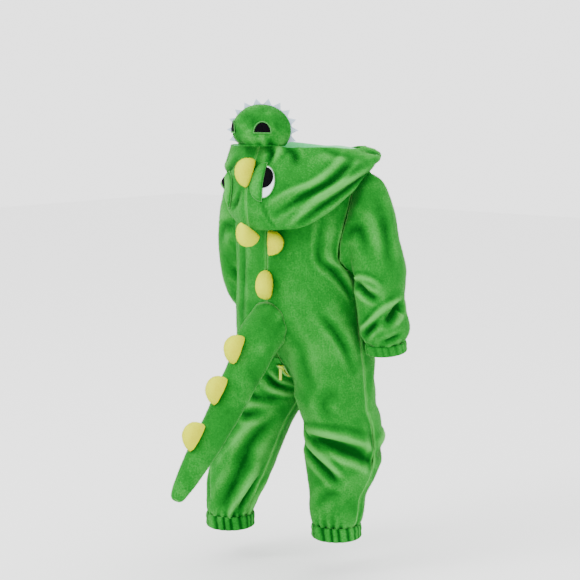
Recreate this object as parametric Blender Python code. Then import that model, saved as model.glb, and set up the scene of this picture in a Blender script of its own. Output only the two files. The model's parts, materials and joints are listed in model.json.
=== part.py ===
"""Toddler's dinosaur costume: a hooded plush one-piece with a stuffed tail, in its worn shape.

Metres, +Z up. The garment's front faces +Y, so +X is its right-hand side.
The origin is the centre of the neck on the shoulder line, where the garment hangs.
"""
from collections import namedtuple
from math import copysign, cos, pi, radians, sin, sqrt

import bmesh
import bpy
from mathutils import Matrix, Vector

# Driving sizes
CLOTH = 0.0025          # plush cloth, with its pile pressed down
GAP = 0.0003            # room between two sewn pieces
LIFT = 0.0004           # room under a patch that lies on a panel
LINING = 0.0012
FELT = 0.0014
MUZZLE_RADIUS = 0.047
SPIKE_HALF_LENGTH = 0.0225
SPIKE_HEIGHT = 0.028
SPIKE_HALF_THICKNESS = 0.0120
TAIL_TOP = -0.262       # height of the tail's root on the back seam
ZIP_TOP = -0.326

# Grid steps of the solids
PANEL_COLUMNS = 7
SLEEVE_HALF_COLUMNS = 14
HOOD_COLUMNS = 12
HOOD_STEPS = 12
TAIL_RINGS = 14
TAIL_HALF_COLUMNS = 8

# One side of the body, a row for each section from the neckline to the ankle.
# z_*: heights at the centre back, side and centre front. wide, back, front: the section's half axes.
# arm_back, arm_front: how far round the panels reach towards the side (1 is the side itself).
# leg: share of the leg's ring in the section.
Torso = namedtuple("Torso", "z_back z_side z_front wide back front arm_back arm_front leg")
TORSO = [
    Torso(0.006, 0.000, -0.020, 0.058, 0.055, 0.056, 1.00, 1.00, 0.00),
    Torso(-0.008, -0.005, -0.036, 0.080, 0.068, 0.068, 1.00, 1.00, 0.00),
    Torso(-0.030, -0.016, -0.056, 0.106, 0.079, 0.080, 1.00, 1.00, 0.00),
    Torso(-0.056, -0.045, -0.080, 0.113, 0.086, 0.088, 0.91, 0.88, 0.00),
    Torso(-0.085, -0.078, -0.102, 0.112, 0.090, 0.092, 0.86, 0.79, 0.00),
    Torso(-0.115, -0.108, -0.126, 0.110, 0.091, 0.094, 0.81, 0.76, 0.00),
    Torso(-0.145, -0.135, -0.152, 0.108, 0.091, 0.095, 0.77, 0.76, 0.00),
    Torso(-0.170, -0.157, -0.176, 0.107, 0.091, 0.095, 0.78, 0.79, 0.00),
    Torso(-0.190, -0.172, -0.196, 0.106, 0.091, 0.095, 0.87, 0.88, 0.00),
    Torso(-0.206, -0.181, -0.212, 0.106, 0.091, 0.095, 1.00, 1.00, 0.00),
    Torso(-0.230, -0.205, -0.236, 0.107, 0.091, 0.095, 1.00, 1.00, 0.00),
    Torso(-0.255, -0.235, -0.262, 0.109, 0.090, 0.095, 1.00, 1.00, 0.00),
    Torso(-0.280, -0.265, -0.289, 0.112, 0.086, 0.092, 1.00, 1.00, 0.02),
    Torso(-0.305, -0.294, -0.315, 0.115, 0.083, 0.088, 1.00, 1.00, 0.14),
    Torso(-0.329, -0.322, -0.338, 0.118, 0.082, 0.086, 1.00, 1.00, 0.34),
    Torso(-0.349, -0.348, -0.357, 0.121, 0.080, 0.084, 1.00, 1.00, 0.58),
    Torso(-0.364, -0.372, -0.369, 0.124, 0.078, 0.082, 1.00, 1.00, 0.82),
    Torso(-0.374, -0.395, -0.375, 0.126, 0.076, 0.080, 1.00, 1.00, 1.00),
]
# The legs' rings, a row for each section. The first rows stand inside the seat and share the body's rows.
Ring = namedtuple("Ring", "z x y wide deep")
RIGHT_LEG = [
    Ring(-0.395, 0.0635, 0.002, 0.0632, 0.067),
    Ring(-0.420, 0.0675, 0.010, 0.0640, 0.065),
    Ring(-0.447, 0.0690, 0.017, 0.0615, 0.062),
    Ring(-0.472, 0.0695, 0.016, 0.0620, 0.062),
    Ring(-0.497, 0.0700, 0.012, 0.0590, 0.058),
    Ring(-0.520, 0.0700, 0.006, 0.0520, 0.051),
    Ring(-0.540, 0.0690, 0.002, 0.0450, 0.045),
    Ring(-0.562, 0.0690, 0.000, 0.0440, 0.044),
    Ring(-0.578, 0.0690, -0.001, 0.0410, 0.041),
    Ring(-0.588, 0.0690, -0.001, 0.0365, 0.0365),
]
LEFT_LEG = [
    Ring(-0.395, 0.0635, 0.002, 0.0632, 0.067),
    Ring(-0.420, 0.0710, -0.010, 0.0610, 0.063),
    Ring(-0.447, 0.0800, -0.021, 0.0570, 0.058),
    Ring(-0.472, 0.0880, -0.028, 0.0560, 0.056),
    Ring(-0.497, 0.0955, -0.034, 0.0550, 0.055),
    Ring(-0.520, 0.1020, -0.039, 0.0530, 0.053),
    Ring(-0.540, 0.1075, -0.043, 0.0490, 0.049),
    Ring(-0.562, 0.1125, -0.046, 0.0440, 0.044),
    Ring(-0.580, 0.1160, -0.048, 0.0400, 0.040),
    Ring(-0.592, 0.1170, -0.048, 0.0365, 0.0365),
]
SEAT_ROW = len(TORSO) - 1

# Sleeves. Near the armhole the rings turn about the underarm, then they follow the arm.
Fan = namedtuple("Fan", "tilt across deep y")
Arm = namedtuple("Arm", "x y z bend wide deep")
UNDERARM = Vector((0.1085, 0.0, -0.1875))
UNDERARM_ROOM = 0.0045
RIGHT_FAN = [
    Fan(13, 0.156, 0.040, 0.000),
    Fan(27, 0.122, 0.041, 0.001),
    Fan(43, 0.092, 0.042, 0.002),
    Fan(60, 0.080, 0.043, 0.003),
    Fan(77, 0.075, 0.044, 0.005),
]
RIGHT_ARM = [
    Arm(0.1470, 0.006, -0.204, 0, 0.0360, 0.0440),
    Arm(0.1475, 0.008, -0.221, 4, 0.0345, 0.0420),
    Arm(0.1490, 0.010, -0.238, 6, 0.0350, 0.0415),
    Arm(0.1500, 0.013, -0.254, 8, 0.0370, 0.0425),
    Arm(0.1505, 0.016, -0.269, 8, 0.0375, 0.0415),
    Arm(0.1500, 0.018, -0.281, 8, 0.0335, 0.0360),
    Arm(0.1495, 0.019, -0.288, 8, 0.0295, 0.0305),
]
LEFT_FAN = [
    Fan(13, 0.158, 0.040, 0.003),
    Fan(27, 0.124, 0.042, 0.008),
    Fan(43, 0.097, 0.043, 0.014),
    Fan(60, 0.084, 0.044, 0.020),
    Fan(77, 0.078, 0.044, 0.026),
]
LEFT_ARM = [
    Arm(0.1495, 0.032, -0.203, 14, 0.0380, 0.0430),
    Arm(0.1505, 0.041, -0.221, 34, 0.0380, 0.0410),
    Arm(0.1510, 0.056, -0.235, 56, 0.0380, 0.0400),
    Arm(0.1510, 0.074, -0.242, 72, 0.0370, 0.0380),
    Arm(0.1485, 0.093, -0.246, 78, 0.0360, 0.0370),
    Arm(0.1455, 0.110, -0.249, 80, 0.0360, 0.0370),
    Arm(0.1430, 0.123, -0.251, 80, 0.0320, 0.0330),
    Arm(0.1420, 0.130, -0.252, 80, 0.0290, 0.0300),
]

# The hood, thrown back. A row for each direction round the neck, 0 at the centre back.
# Each section is a pocket: from the neck seam over the panel, down to the fold and up to the face edge.
Pocket = namedtuple("Pocket", "turn in_r in_z low_r low_z fold_r fold_z side_r side_z rim_r rim_z")
RIGHT_HOOD = [
    Pocket(0, 0.0925, -0.028, 0.101, -0.078, 0.130, -0.1075, 0.137, -0.050, 0.108, 0.0170),
    Pocket(20, 0.0935, -0.026, 0.103, -0.076, 0.132, -0.1080, 0.141, -0.050, 0.110, 0.0170),
    Pocket(40, 0.1010, -0.025, 0.112, -0.070, 0.136, -0.1000, 0.146, -0.044, 0.111, 0.0160),
    Pocket(60, 0.1050, -0.018, 0.122, -0.048, 0.140, -0.0720, 0.149, -0.030, 0.112, 0.0160),
    Pocket(80, 0.1000, 0.004, 0.124, -0.013, 0.138, -0.0330, 0.143, -0.014, 0.112, 0.0120),
    Pocket(98, 0.0920, 0.007, 0.118, 0.000, 0.132, -0.0065, 0.136, 0.004, 0.108, 0.0150),
    Pocket(118, 0.0850, 0.004, 0.104, -0.004, 0.116, -0.0090, 0.119, 0.003, 0.092, 0.0140),
    Pocket(142, 0.0780, -0.008, 0.088, -0.018, 0.097, -0.0200, 0.099, -0.006, 0.074, 0.0110),
    Pocket(168, 0.0660, -0.010, 0.071, -0.020, 0.076, -0.0230, 0.078, -0.014, 0.064, 0.0060),
]
LEFT_HOOD = [
    Pocket(0, 0.0925, -0.028, 0.101, -0.078, 0.130, -0.1075, 0.137, -0.050, 0.108, 0.0170),
    Pocket(20, 0.0935, -0.026, 0.103, -0.072, 0.123, -0.1000, 0.130, -0.046, 0.111, 0.0160),
    Pocket(40, 0.1010, -0.025, 0.108, -0.062, 0.119, -0.0860, 0.126, -0.038, 0.114, 0.0150),
    Pocket(60, 0.1050, -0.018, 0.112, -0.042, 0.121, -0.0600, 0.127, -0.024, 0.116, 0.0150),
    Pocket(80, 0.1000, 0.004, 0.114, -0.010, 0.126, -0.0240, 0.131, -0.004, 0.112, 0.0150),
    Pocket(98, 0.0920, 0.007, 0.114, 0.000, 0.128, -0.0060, 0.133, 0.006, 0.107, 0.0150),
    Pocket(118, 0.0850, 0.004, 0.104, -0.004, 0.118, -0.0080, 0.121, 0.006, 0.092, 0.0140),
    Pocket(142, 0.0780, -0.008, 0.088, -0.018, 0.097, -0.0200, 0.099, -0.006, 0.074, 0.0110),
    Pocket(168, 0.0660, -0.010, 0.071, -0.020, 0.076, -0.0230, 0.078, -0.014, 0.064, 0.0060),
]
NECK_STAND = 0.010      # height that the hood stands before it turns over

# The tail's middle line in the plane of the back seam, a row for each section.
Tail = namedtuple("Tail", "y z half")
TAIL = [
    Tail(-0.090, -0.262, 0.0360),
    Tail(-0.113, -0.286, 0.0340),
    Tail(-0.132, -0.314, 0.0300),
    Tail(-0.158, -0.345, 0.0270),
    Tail(-0.184, -0.377, 0.0250),
    Tail(-0.212, -0.409, 0.0232),
    Tail(-0.240, -0.438, 0.0212),
    Tail(-0.264, -0.463, 0.0180),
    Tail(-0.283, -0.4835, 0.0138),
    Tail(-0.2935, -0.4955, 0.0100),
    Tail(-0.2975, -0.5000, 0.0055),
]
TAIL_SPIKES = (1.95, 3.75, 5.75)

# Soft troughs pressed into the panels: ends as (row, share across the panel), then depth and width.
Fold = namedtuple("Fold", "piece row0 across0 row1 across1 depth width")
FOLDS = [
    Fold("back_right", 6.0, 0.78, 13.0, 0.62, 0.0060, 0.011),
    Fold("back_right", 11.5, 0.95, 15.0, 0.55, 0.0050, 0.011),
    Fold("back_right", 19.6, 0.10, 19.0, 0.95, 0.0070, 0.011),
    Fold("back_right", 21.6, 0.25, 20.7, 0.90, 0.0060, 0.010),
    Fold("back_left", 14.6, 0.35, 17.8, 0.80, 0.0055, 0.012),
    Fold("back_left", 19.5, 0.60, 22.5, 0.10, 0.0060, 0.010),
    Fold("back_left", 21.5, 0.85, 24.0, 0.35, 0.0055, 0.010),
    Fold("front_right", 12.0, 0.20, 15.5, 0.70, 0.0050, 0.012),
    Fold("front_right", 19.5, 0.20, 20.0, 0.90, 0.0060, 0.011),
    Fold("front_left", 12.5, 0.80, 15.5, 0.25, 0.0050, 0.012),
    Fold("front_left", 20.0, 0.15, 21.0, 0.90, 0.0060, 0.011),
]

# Seams, folds and cuffs
SQUARENESS = 0.80
SEAT_RING = 0.060       # radius of the leg's ring where it starts inside the seat
SEAM_MARGIN = 0.0012    # share of the body's quarter left free at each seam
ARM_MARGIN = 0.045
SLEEVE_MARGIN = 0.0045
UNDERARM_LIFT = 0.06   # rows
SHOULDER_ROW = 2
UNDERARM_ROW = 9
FOLD_STEPS = 5
CUFF_GATHERS = 18
CUFF_STEPS = 2
CUFF_WAVE = 0.30
CUFF_SWELL = 0.0045
CUFF_PROFILE = ((0.45, 0.0), (1.3, 0.4), (0.9, 0.95))
CUFF_LINING = ((0.0, 0.0), (0.0, 0.4), (0.1, 0.9))
LEG_CUFF_HEIGHT = 0.020
ARM_CUFF_HEIGHT = 0.015

# Hood, muzzle, eyes and spikes
LINING_COLUMNS = 9
LINING_ROOM = 0.0008
NECK_SEAM_RADIUS = 0.0565
NECK_SEAM_LIFT = 0.0014
HOOD_ROUND = 0.134
MUZZLE_CENTRE = Vector((0.0, -0.100, 0.0412))
MUZZLE_TURN = 20
MUZZLE_FLATTENED = 0.82   # height of the dome as a share of its width
MUZZLE_DEPTH = 0.040
MUZZLE_UNDER_DEPTH = 0.018
MUZZLE_DROP = 0.0290
TEETH = 12
TEETH_ARC = 4.2
TEETH_SEAM = 0.008
TEETH_STAND = 0.0008
TEETH_EDGE = 0.0006
TOOTH_BASE = 0.0125
TOOTH_HEIGHT = 0.0105
NOSTRIL_PLACE = 0.0357
NOSTRIL_SHIFT = 0.0188   # the pair sits a little to the left of the muzzle's own middle
NOSTRIL_HALF = 0.0148
NOSTRIL_FOOT = -0.0045
NOSTRIL_RISE = 0.0240
EYE_HEIGHT = -0.036
EYE_ACROSS = 0.0310
LEFT_EYE_DROP = 0.0160
LEFT_EYE_SHIFT = 0.0360   # the cloth bunches at the centre seam on this side
EYE_WIDE = 0.0180
EYE_HALF = 0.0235
PUPIL_WIDE = 0.0150
PUPIL_HALF = 0.0150
PUPIL_UP = 0.0060
LID_ROOM = 0.0012
LID_WIDE = 0.0230
LID_HALF = 0.0285
LID_PAD = 0.0060
SPIKE_STEPS = 6
PATCH_STEPS = 6
SPIKE_EDGE = 0.0012
SPIKE_ROOM = 0.0012
TAIL_SPIKE_ROOM = 0.0022
RIDGE_STEP = 0.7
HOOD_SPIKE_PLACES = (5.35, 3.98)
BACK_SPIKE_HEIGHT = -0.198
BACK_SPIKE_LEAN = 28
FLAT_SPIKE_HEIGHT = -0.131
FLAT_SPIKE_PLACE = Vector((0.016, -0.0125, 0.0))
FLAT_SPIKE_OUT = Vector((1.0, 0.08, 0.0))
TAIL_ROOT_HALF = 0.037
TAIL_ROOT_ROOM = 0.0009

# Front fastening and zip
PLACKET_ROWS = (1, 12)
PLACKET_SHARES = (0.02, 0.25, 0.52)
PLACKET_LIFT = 0.0008
STUDS = 5
STUD_RADIUS = 0.006
STUD_HEIGHT = 0.0022
STUD_LIFT = 0.0012
ZIP_ROWS = (14, 15)
TAPE_LIFT = 0.0024
TAPE_SHARES = (0.12, 0.20, 0.30)
TAPE = 0.0008
ZIP_ROOM = 0.0030
SLIDER_WIDE = 0.0075
SLIDER_LENGTH = 0.009
SLIDER_THICK = 0.0025
PATCH_SIZE = 0.011
PATCH_STAND = 0.0036
PULL_WIDE = 0.0055
PULL_THICK = 0.0012
PULL_LENGTH = 0.018

SPIKE_YELLOW = (0.72, 0.67, 0.045, 1.0)
PLUSH_GREEN = (0.048, 0.355, 0.052, 1.0)
MINT = (0.05, 0.60, 0.17, 1.0)
LIME = (0.48, 0.72, 0.10, 1.0)
WHITE = (0.72, 0.80, 0.86, 1.0)
BLACK = (0.008, 0.008, 0.012, 1.0)


def clear_scene():
    """Empty the scene before the costume is made."""
    for thing in list(bpy.data.objects):
        bpy.data.objects.remove(thing, do_unlink=True)


def material(name, colour, roughness, metallic=0.0):
    """A plain finish for one kind of piece."""
    made = bpy.data.materials.get(name) or bpy.data.materials.new(name)
    made.use_nodes = True
    shader = made.node_tree.nodes["Principled BSDF"]
    shader.inputs["Base Color"].default_value = colour
    shader.inputs["Roughness"].default_value = roughness
    shader.inputs["Metallic"].default_value = metallic
    return made


def plush():
    return material("green_plush", PLUSH_GREEN, 0.9)


def yellow_plush():
    return material("yellow_plush", SPIKE_YELLOW, 0.9)


def add_object(name, mesh, finish):
    """Link a finished mesh to the costume's collection."""
    mesh.materials.append(finish)
    made = bpy.data.objects.new(name, mesh)
    bpy.data.collections["dinosaur_costume"].objects.link(made)
    return made


def smooth_value(values, place):
    """Value at a place between rows, on a smooth curve through all of them."""
    last = len(values) - 1
    place = min(max(place, 0.0), float(last))
    low = min(int(place), last - 1)
    f = place - low
    before = values[max(low - 1, 0)]
    start = values[low]
    end = values[low + 1]
    after = values[min(low + 2, last)]
    bend = 2 * before - 5 * start + 4 * end - after
    twist = 3 * (start - end) + after - before
    return start + 0.5 * f * (end - before + f * (bend + f * twist))


def section(table, place):
    """The table's row at a place between its rows."""
    columns = zip(*table)
    return type(table[0])(*[smooth_value(column, place) for column in columns])


def mix(a, b, share):
    return a + (b - a) * share


def loft(name, outer, inner, closed, finish):
    """A wall between an outer and an inner grid of points, closed along its edges.

    Both faces are split along the same diagonal, so that the wall keeps its thickness where it twists.
    """
    mesh = bpy.data.meshes.new(name)
    bm = bmesh.new()
    rows = len(outer)
    columns = len(outer[0])
    out = [[bm.verts.new(p) for p in row] for row in outer]
    ins = [[bm.verts.new(p) for p in row] for row in inner]
    steps = columns if closed else columns - 1
    for i in range(rows - 1):
        for j in range(steps):
            k = (j + 1) % columns
            bm.faces.new((out[i][j], out[i + 1][j], out[i + 1][k]))
            bm.faces.new((out[i][j], out[i + 1][k], out[i][k]))
            bm.faces.new((ins[i][j], ins[i + 1][k], ins[i + 1][j]))
            bm.faces.new((ins[i][j], ins[i][k], ins[i + 1][k]))
    for j in range(steps):
        k = (j + 1) % columns
        bm.faces.new((out[0][j], out[0][k], ins[0][k], ins[0][j]))
        bm.faces.new((out[-1][k], out[-1][j], ins[-1][j], ins[-1][k]))
    if not closed:
        for i in range(rows - 1):
            bm.faces.new((out[i + 1][0], out[i][0], ins[i][0], ins[i + 1][0]))
            bm.faces.new((out[i][-1], out[i + 1][-1], ins[i + 1][-1], ins[i][-1]))
    bmesh.ops.recalc_face_normals(bm, faces=bm.faces)
    bm.to_mesh(mesh)
    bm.free()
    mesh.shade_smooth()
    return add_object(name, mesh, finish)


def leg_table(side):
    return RIGHT_LEG if side > 0 else LEFT_LEG


def last_row(side):
    """Number of the ankle's row, counted from the neckline."""
    return SEAT_ROW + len(leg_table(side)) - 1


def body_form(side, across, row):
    """Point on one side of the body: across 0 is the centre back, 1 the side, 2 the centre front."""
    torso = section(TORSO, min(row, SEAT_ROW))
    rings = leg_table(side)
    leg = section(rings, max(row - SEAT_ROW, 0.0))
    behind = across <= 1.0
    turn = across * pi / 2
    x = copysign(torso.wide * abs(sin(turn)) ** SQUARENESS, sin(turn))
    depth = -torso.back if behind else torso.front
    y = depth * abs(cos(turn)) ** SQUARENESS
    radius = leg.wide if row > SEAT_ROW else mix(SEAT_RING, leg.wide, torso.leg)
    centre = leg.x if row > SEAT_ROW else radius + (leg.x - leg.wide) * torso.leg
    leg_x = centre - radius * cos(across * pi)
    leg_y = leg.y - leg.deep * sin(across * pi)
    middle = torso.z_back if behind else torso.z_front
    z = mix(torso.z_side, middle, cos(turn) ** 2)
    if row > SEAT_ROW:
        drop = (leg.z - rings[0].z) / (rings[-1].z - rings[0].z)
        z = mix(z, rings[-1].z, drop)
    return Vector((side * mix(x, leg_x, torso.leg), mix(y, leg_y, torso.leg), z))


def body_normal(side, across, row):
    """Direction away from the hollow at a point of the body."""
    step = 0.02
    low = max(row - step, 0.0)
    high = min(row + step, float(last_row(side)))
    along = body_form(side, across + step, row) - body_form(side, across - step, row)
    down = body_form(side, across, high) - body_form(side, across, low)
    return (side * down.cross(along)).normalized()


def reach(row, behind):
    """How far round a panel goes towards the side in this row."""
    torso = section(TORSO, min(row, SEAT_ROW))
    return min(torso.arm_back if behind else torso.arm_front, 1.0)


def panel_place(row, share, behind):
    """The body's across value at a share of a panel's width, clear of both seams."""
    across = mix(SEAM_MARGIN, reach(row, behind) - SEAM_MARGIN, share)
    return across if behind else 2.0 - across


def fold_lines(name, side, behind):
    """The panel's troughs as short chains of points, with their depth and width."""
    lines = []
    for fold in FOLDS:
        if fold.piece != name:
            continue
        chain = []
        for k in range(FOLD_STEPS + 1):
            row = mix(fold.row0, fold.row1, k / FOLD_STEPS)
            share = mix(fold.across0, fold.across1, k / FOLD_STEPS)
            chain.append(body_form(side, panel_place(row, share, behind), row))
        lines.append((chain, fold.depth, fold.width))
    return lines


def fold_depth(point, lines):
    """How far a point is pressed in by the troughs near it, with a low ridge beside each."""
    total = 0.0
    for chain, depth, width in lines:
        nearest = 1.0
        fade = 0.0
        for k in range(len(chain) - 1):
            step = chain[k + 1] - chain[k]
            share = min(max((point - chain[k]).dot(step) / step.dot(step), 0.0), 1.0)
            away = (point - chain[k] - step * share).length
            if away < nearest:
                nearest = away
                fade = sin(pi * (0.08 + 0.84 * (k + share) / (len(chain) - 1)))
        ratio = nearest / width
        if ratio < 4.0:
            total += depth * fade * (2.7 ** (-ratio * ratio) - 0.35 * 2.7 ** (-(ratio - 1.9) ** 2))
    return total


def panel_grid(side, behind):
    """The panel's plush face as rows of points, with the direction out of the cloth at each."""
    name = ("back" if behind else "front") + ("_right" if side > 0 else "_left")
    lines = fold_lines(name, side, behind)
    points = []
    normals = []
    for row in range(last_row(side) + 1):
        places = [panel_place(row, j / PANEL_COLUMNS, behind) for j in range(PANEL_COLUMNS + 1)]
        outs = [body_normal(side, across, row) for across in places]
        forms = [body_form(side, across, row) for across in places]
        points.append([p - n * fold_depth(p, lines) for p, n in zip(forms, outs)])
        normals.append(outs)
    return points, normals


def make_panel(name, side, behind):
    """One front or back half, cut from the neckline to the ankle."""
    points, normals = panel_grid(side, behind)
    inner = [[p - n * CLOTH for p, n in zip(row, outs)] for row, outs in zip(points, normals)]
    return loft(name, points, inner, False, plush())


def seam_strip(side, behind, rows, shares, lifts):
    """Rows of points beside a centre seam, lifted off a panel's own faces by each of the given amounts."""
    points, normals = panel_grid(side, behind)
    grids = [[] for _ in lifts]
    for row in rows:
        for grid, lift in zip(grids, lifts):
            line = []
            for share in shares:
                place = mix(points[row][0], points[row][1], share)
                out = mix(normals[row][0], normals[row][1], share).normalized()
                line.append(place + out * lift)
            grid.append(line)
    return grids


def armhole_point(side, behind, row):
    """Point just beyond a panel's edge at one of its rows, and the direction out of the cloth there."""
    across = min(reach(row, behind) + SLEEVE_MARGIN, 1.0)
    across = across if behind else 2.0 - across
    row = row - UNDERARM_LIFT if row > UNDERARM_ROW - 2 else row
    return body_form(side, across, row), body_normal(side, across, row)


def armhole_ring(side):
    """Points round the armhole just inside the panels' edges, from the shoulder down the back and up."""
    count = SLEEVE_HALF_COLUMNS
    ring = []
    for k in range(2 * count):
        behind = k <= count
        share = k / count if behind else (2 * count - k) / count
        row = mix(SHOULDER_ROW, UNDERARM_ROW, share)
        row = min(max(row, SHOULDER_ROW + ARM_MARGIN), UNDERARM_ROW - ARM_MARGIN)
        low = int(row)
        start, start_out = armhole_point(side, behind, low)
        end, end_out = armhole_point(side, behind, low + 1)
        ring.append((mix(start, end, row - low), mix(start_out, end_out, row - low).normalized()))
    return ring


def arm_ring(side, centre, tilt, bend, wide, deep):
    """One ring of a sleeve, from its outer side round the back."""
    outward = Vector((sin(tilt), 0, cos(tilt)))
    down = Vector((cos(tilt), 0, -sin(tilt)))
    back = Vector((0, -1, 0)) * cos(bend) + down * sin(bend)
    points = []
    for k in range(2 * SLEEVE_HALF_COLUMNS):
        angle = pi * k / SLEEVE_HALF_COLUMNS
        p = centre + outward * wide * cos(angle) + back * deep * sin(angle)
        points.append(Vector((side * p.x, p.y, p.z)))
    return points


def sleeve_rings(side, fans, arms, inset):
    """All the rings below the armhole, drawn in by the wall's thickness where asked."""
    rings = []
    for fan in fans:
        tilt = radians(fan.tilt)
        spoke = Vector((sin(tilt), 0, cos(tilt)))
        centre = UNDERARM + spoke * (UNDERARM_ROOM + fan.across / 2) + Vector((0, fan.y, 0))
        rings.append(arm_ring(side, centre, tilt, 0.0, fan.across / 2 - inset, fan.deep - inset))
    for arm in arms:
        centre = Vector((arm.x, arm.y, arm.z))
        rings.append(arm_ring(side, centre, pi / 2, radians(arm.bend), arm.wide - inset, arm.deep - inset))
    return rings


def make_sleeve(name, side, fans, arms):
    """A set-in sleeve, lofted from the armhole to the wrist."""
    hole = armhole_ring(side)
    outer = [[p for p, n in hole]] + sleeve_rings(side, fans, arms, 0.0)
    inner = [[p - n * CLOTH for p, n in hole]] + sleeve_rings(side, fans, arms, CLOTH)
    return loft(name, outer, inner, True, plush())


def make_cuff(name, centre, down, across, radius, height):
    """A gathered casing round elastic: a soft band with its gathers all round."""
    side_way = down.cross(across)
    columns = CUFF_GATHERS * CUFF_STEPS
    rim = []
    core = []
    for out, along in CUFF_PROFILE:
        ring = []
        for k in range(columns):
            angle = 2 * pi * k / columns
            wave = cos(CUFF_GATHERS * angle + sin(2 * angle))
            swell = CUFF_SWELL * out * (1.0 + CUFF_WAVE * wave)
            reach_out = across * cos(angle) + side_way * sin(angle)
            ring.append(centre + reach_out * (radius + swell) + down * (height * along))
        rim.append(ring)
    for out, along in reversed(CUFF_LINING):
        ring = []
        for k in range(columns):
            angle = 2 * pi * k / columns
            reach_out = across * cos(angle) + side_way * sin(angle)
            ring.append(centre + reach_out * (radius + CUFF_SWELL * out) + down * (height * along))
        core.append(ring)
    core.reverse()
    return loft(name, rim, core, True, plush())


def make_cuffs():
    """Both leg cuffs and both sleeve cuffs, each just past its tube's end."""
    for name, side, rings in (("leg_cuff_right", 1, RIGHT_LEG), ("leg_cuff_left", -1, LEFT_LEG)):
        end = rings[-1]
        centre = Vector((side * end.x, end.y, end.z - GAP))
        make_cuff(name, centre, Vector((0, 0, -1)), Vector((1, 0, 0)), end.wide - CLOTH, LEG_CUFF_HEIGHT)
    for name, side, arms in (("sleeve_cuff_right", 1, RIGHT_ARM), ("sleeve_cuff_left", -1, LEFT_ARM)):
        end = arms[-1]
        bend = radians(end.bend)
        down = Vector((0, sin(bend), -cos(bend)))
        centre = Vector((side * end.x, end.y, end.z)) + down * GAP
        make_cuff(name, centre, down, Vector((1, 0, 0)), end.wide - CLOTH, ARM_CUFF_HEIGHT)


def hood_table(side):
    return RIGHT_HOOD if side > 0 else LEFT_HOOD


def neck_edge(turn):
    """Radius and height of the neckline in one direction round the neck."""
    front = turn > pi / 2
    middle = TORSO[0].z_front if front else TORSO[0].z_back
    height = mix(TORSO[0].z_side, middle, cos(turn) ** 2)
    return NECK_SEAM_RADIUS, height + NECK_SEAM_LIFT


def hood_profile(side, place):
    """Control points of the pocket's section, from the neck seam to the face edge, and its direction."""
    row = section(hood_table(side), place)
    turn = radians(row.turn)
    radius, height = neck_edge(turn)
    points = [
        (radius, height),
        (radius + 0.3 * NECK_STAND, height + NECK_STAND),
        (row.in_r, row.in_z),
        (row.low_r, row.low_z),
        (row.fold_r, row.fold_z),
        (row.side_r, row.side_z),
        (row.rim_r, row.rim_z),
    ]
    return points, turn


def hood_form(side, place, along):
    """Point on the hood's plush face, and the direction out of the pocket."""
    points, turn = hood_profile(side, place)
    radii = [p[0] for p in points]
    heights = [p[1] for p in points]
    step = 0.05
    low = max(along - step, 0.0)
    high = min(along + step, len(points) - 1.0)
    run = smooth_value(radii, high) - smooth_value(radii, low)
    rise = smooth_value(heights, high) - smooth_value(heights, low)
    length = sqrt(run * run + rise * rise)
    outward = Vector((side * sin(turn), -cos(turn), 0))
    point = outward * smooth_value(radii, along) + Vector((0, 0, smooth_value(heights, along)))
    return point, outward * (rise / length) + Vector((0, 0, -run / length))


def hood_grid(side, columns, steps, depth):
    """Rows of hood points for the given columns and steps of its grid, at a depth under the plush face."""
    grid = []
    for i in columns:
        row = []
        for j in steps:
            place = (len(hood_table(side)) - 1.0) * i / HOOD_COLUMNS
            point, out = hood_form(side, place, 6.0 * j / HOOD_STEPS)
            row.append(point - out * depth)
        grid.append(row)
    return grid


def make_hood(name, side):
    """One half of the hood, thrown back into a pocket over the shoulders."""
    columns = range(HOOD_COLUMNS + 1)
    steps = range(HOOD_STEPS + 1)
    outer = hood_grid(side, columns, steps, 0.0)
    inner = hood_grid(side, columns, steps, CLOTH)
    for grid in (outer, inner):
        for point in grid[0]:
            point.x = side * GAP / 2
        if side < 0:
            grid.reverse()
    return loft(name, outer, inner, False, plush())


def make_hood_lining():
    """The mint lining inside the pocket, on its neck side and its face side, from shoulder to shoulder."""
    columns = range(LINING_COLUMNS + 1)
    for name, steps in (("hood_lining_neck", range(1, HOOD_STEPS // 2 + 1)),
                        ("hood_lining_face", range(HOOD_STEPS - 3, HOOD_STEPS + 1))):
        faces = []
        for depth in (CLOTH + LINING_ROOM, CLOTH + LINING_ROOM + LINING):
            left = hood_grid(-1, columns, steps, depth)
            right = hood_grid(1, columns, steps, depth)
            faces.append(list(reversed(left))[:-1] + right)
        loft(name, faces[0], faces[1], False, material("mint_lining", MINT, 0.85))


def disc_place(i, j, count):
    """Evenly spread grid place on a unit disc."""
    s = 2.0 * i / count - 1.0
    t = 2.0 * j / count - 1.0
    return s * sqrt(1 - t * t / 2), t * sqrt(1 - s * s / 2)


def half_round(x, y):
    """A disc place moved to a half disc with its flat side at 0."""
    edge = sqrt(max(1 - y * y, 0.0))
    return (x + edge) / 2, y


def make_patch(name, place_on, count, thick, pad, finish):
    """A sewn patch over a surface. place_on gives the point and direction for a place on the disc."""
    outer = []
    inner = []
    for i in range(count + 1):
        top = []
        foot = []
        for j in range(count + 1):
            x, y = disc_place(i, j, count)
            point, out = place_on(x, y)
            swell = pad * sqrt(max(1 - x * x - y * y, 0.0))
            foot.append(point)
            top.append(point + out * (thick + swell))
        outer.append(top)
        inner.append(foot)
    return loft(name, outer, inner, False, finish)


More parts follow.
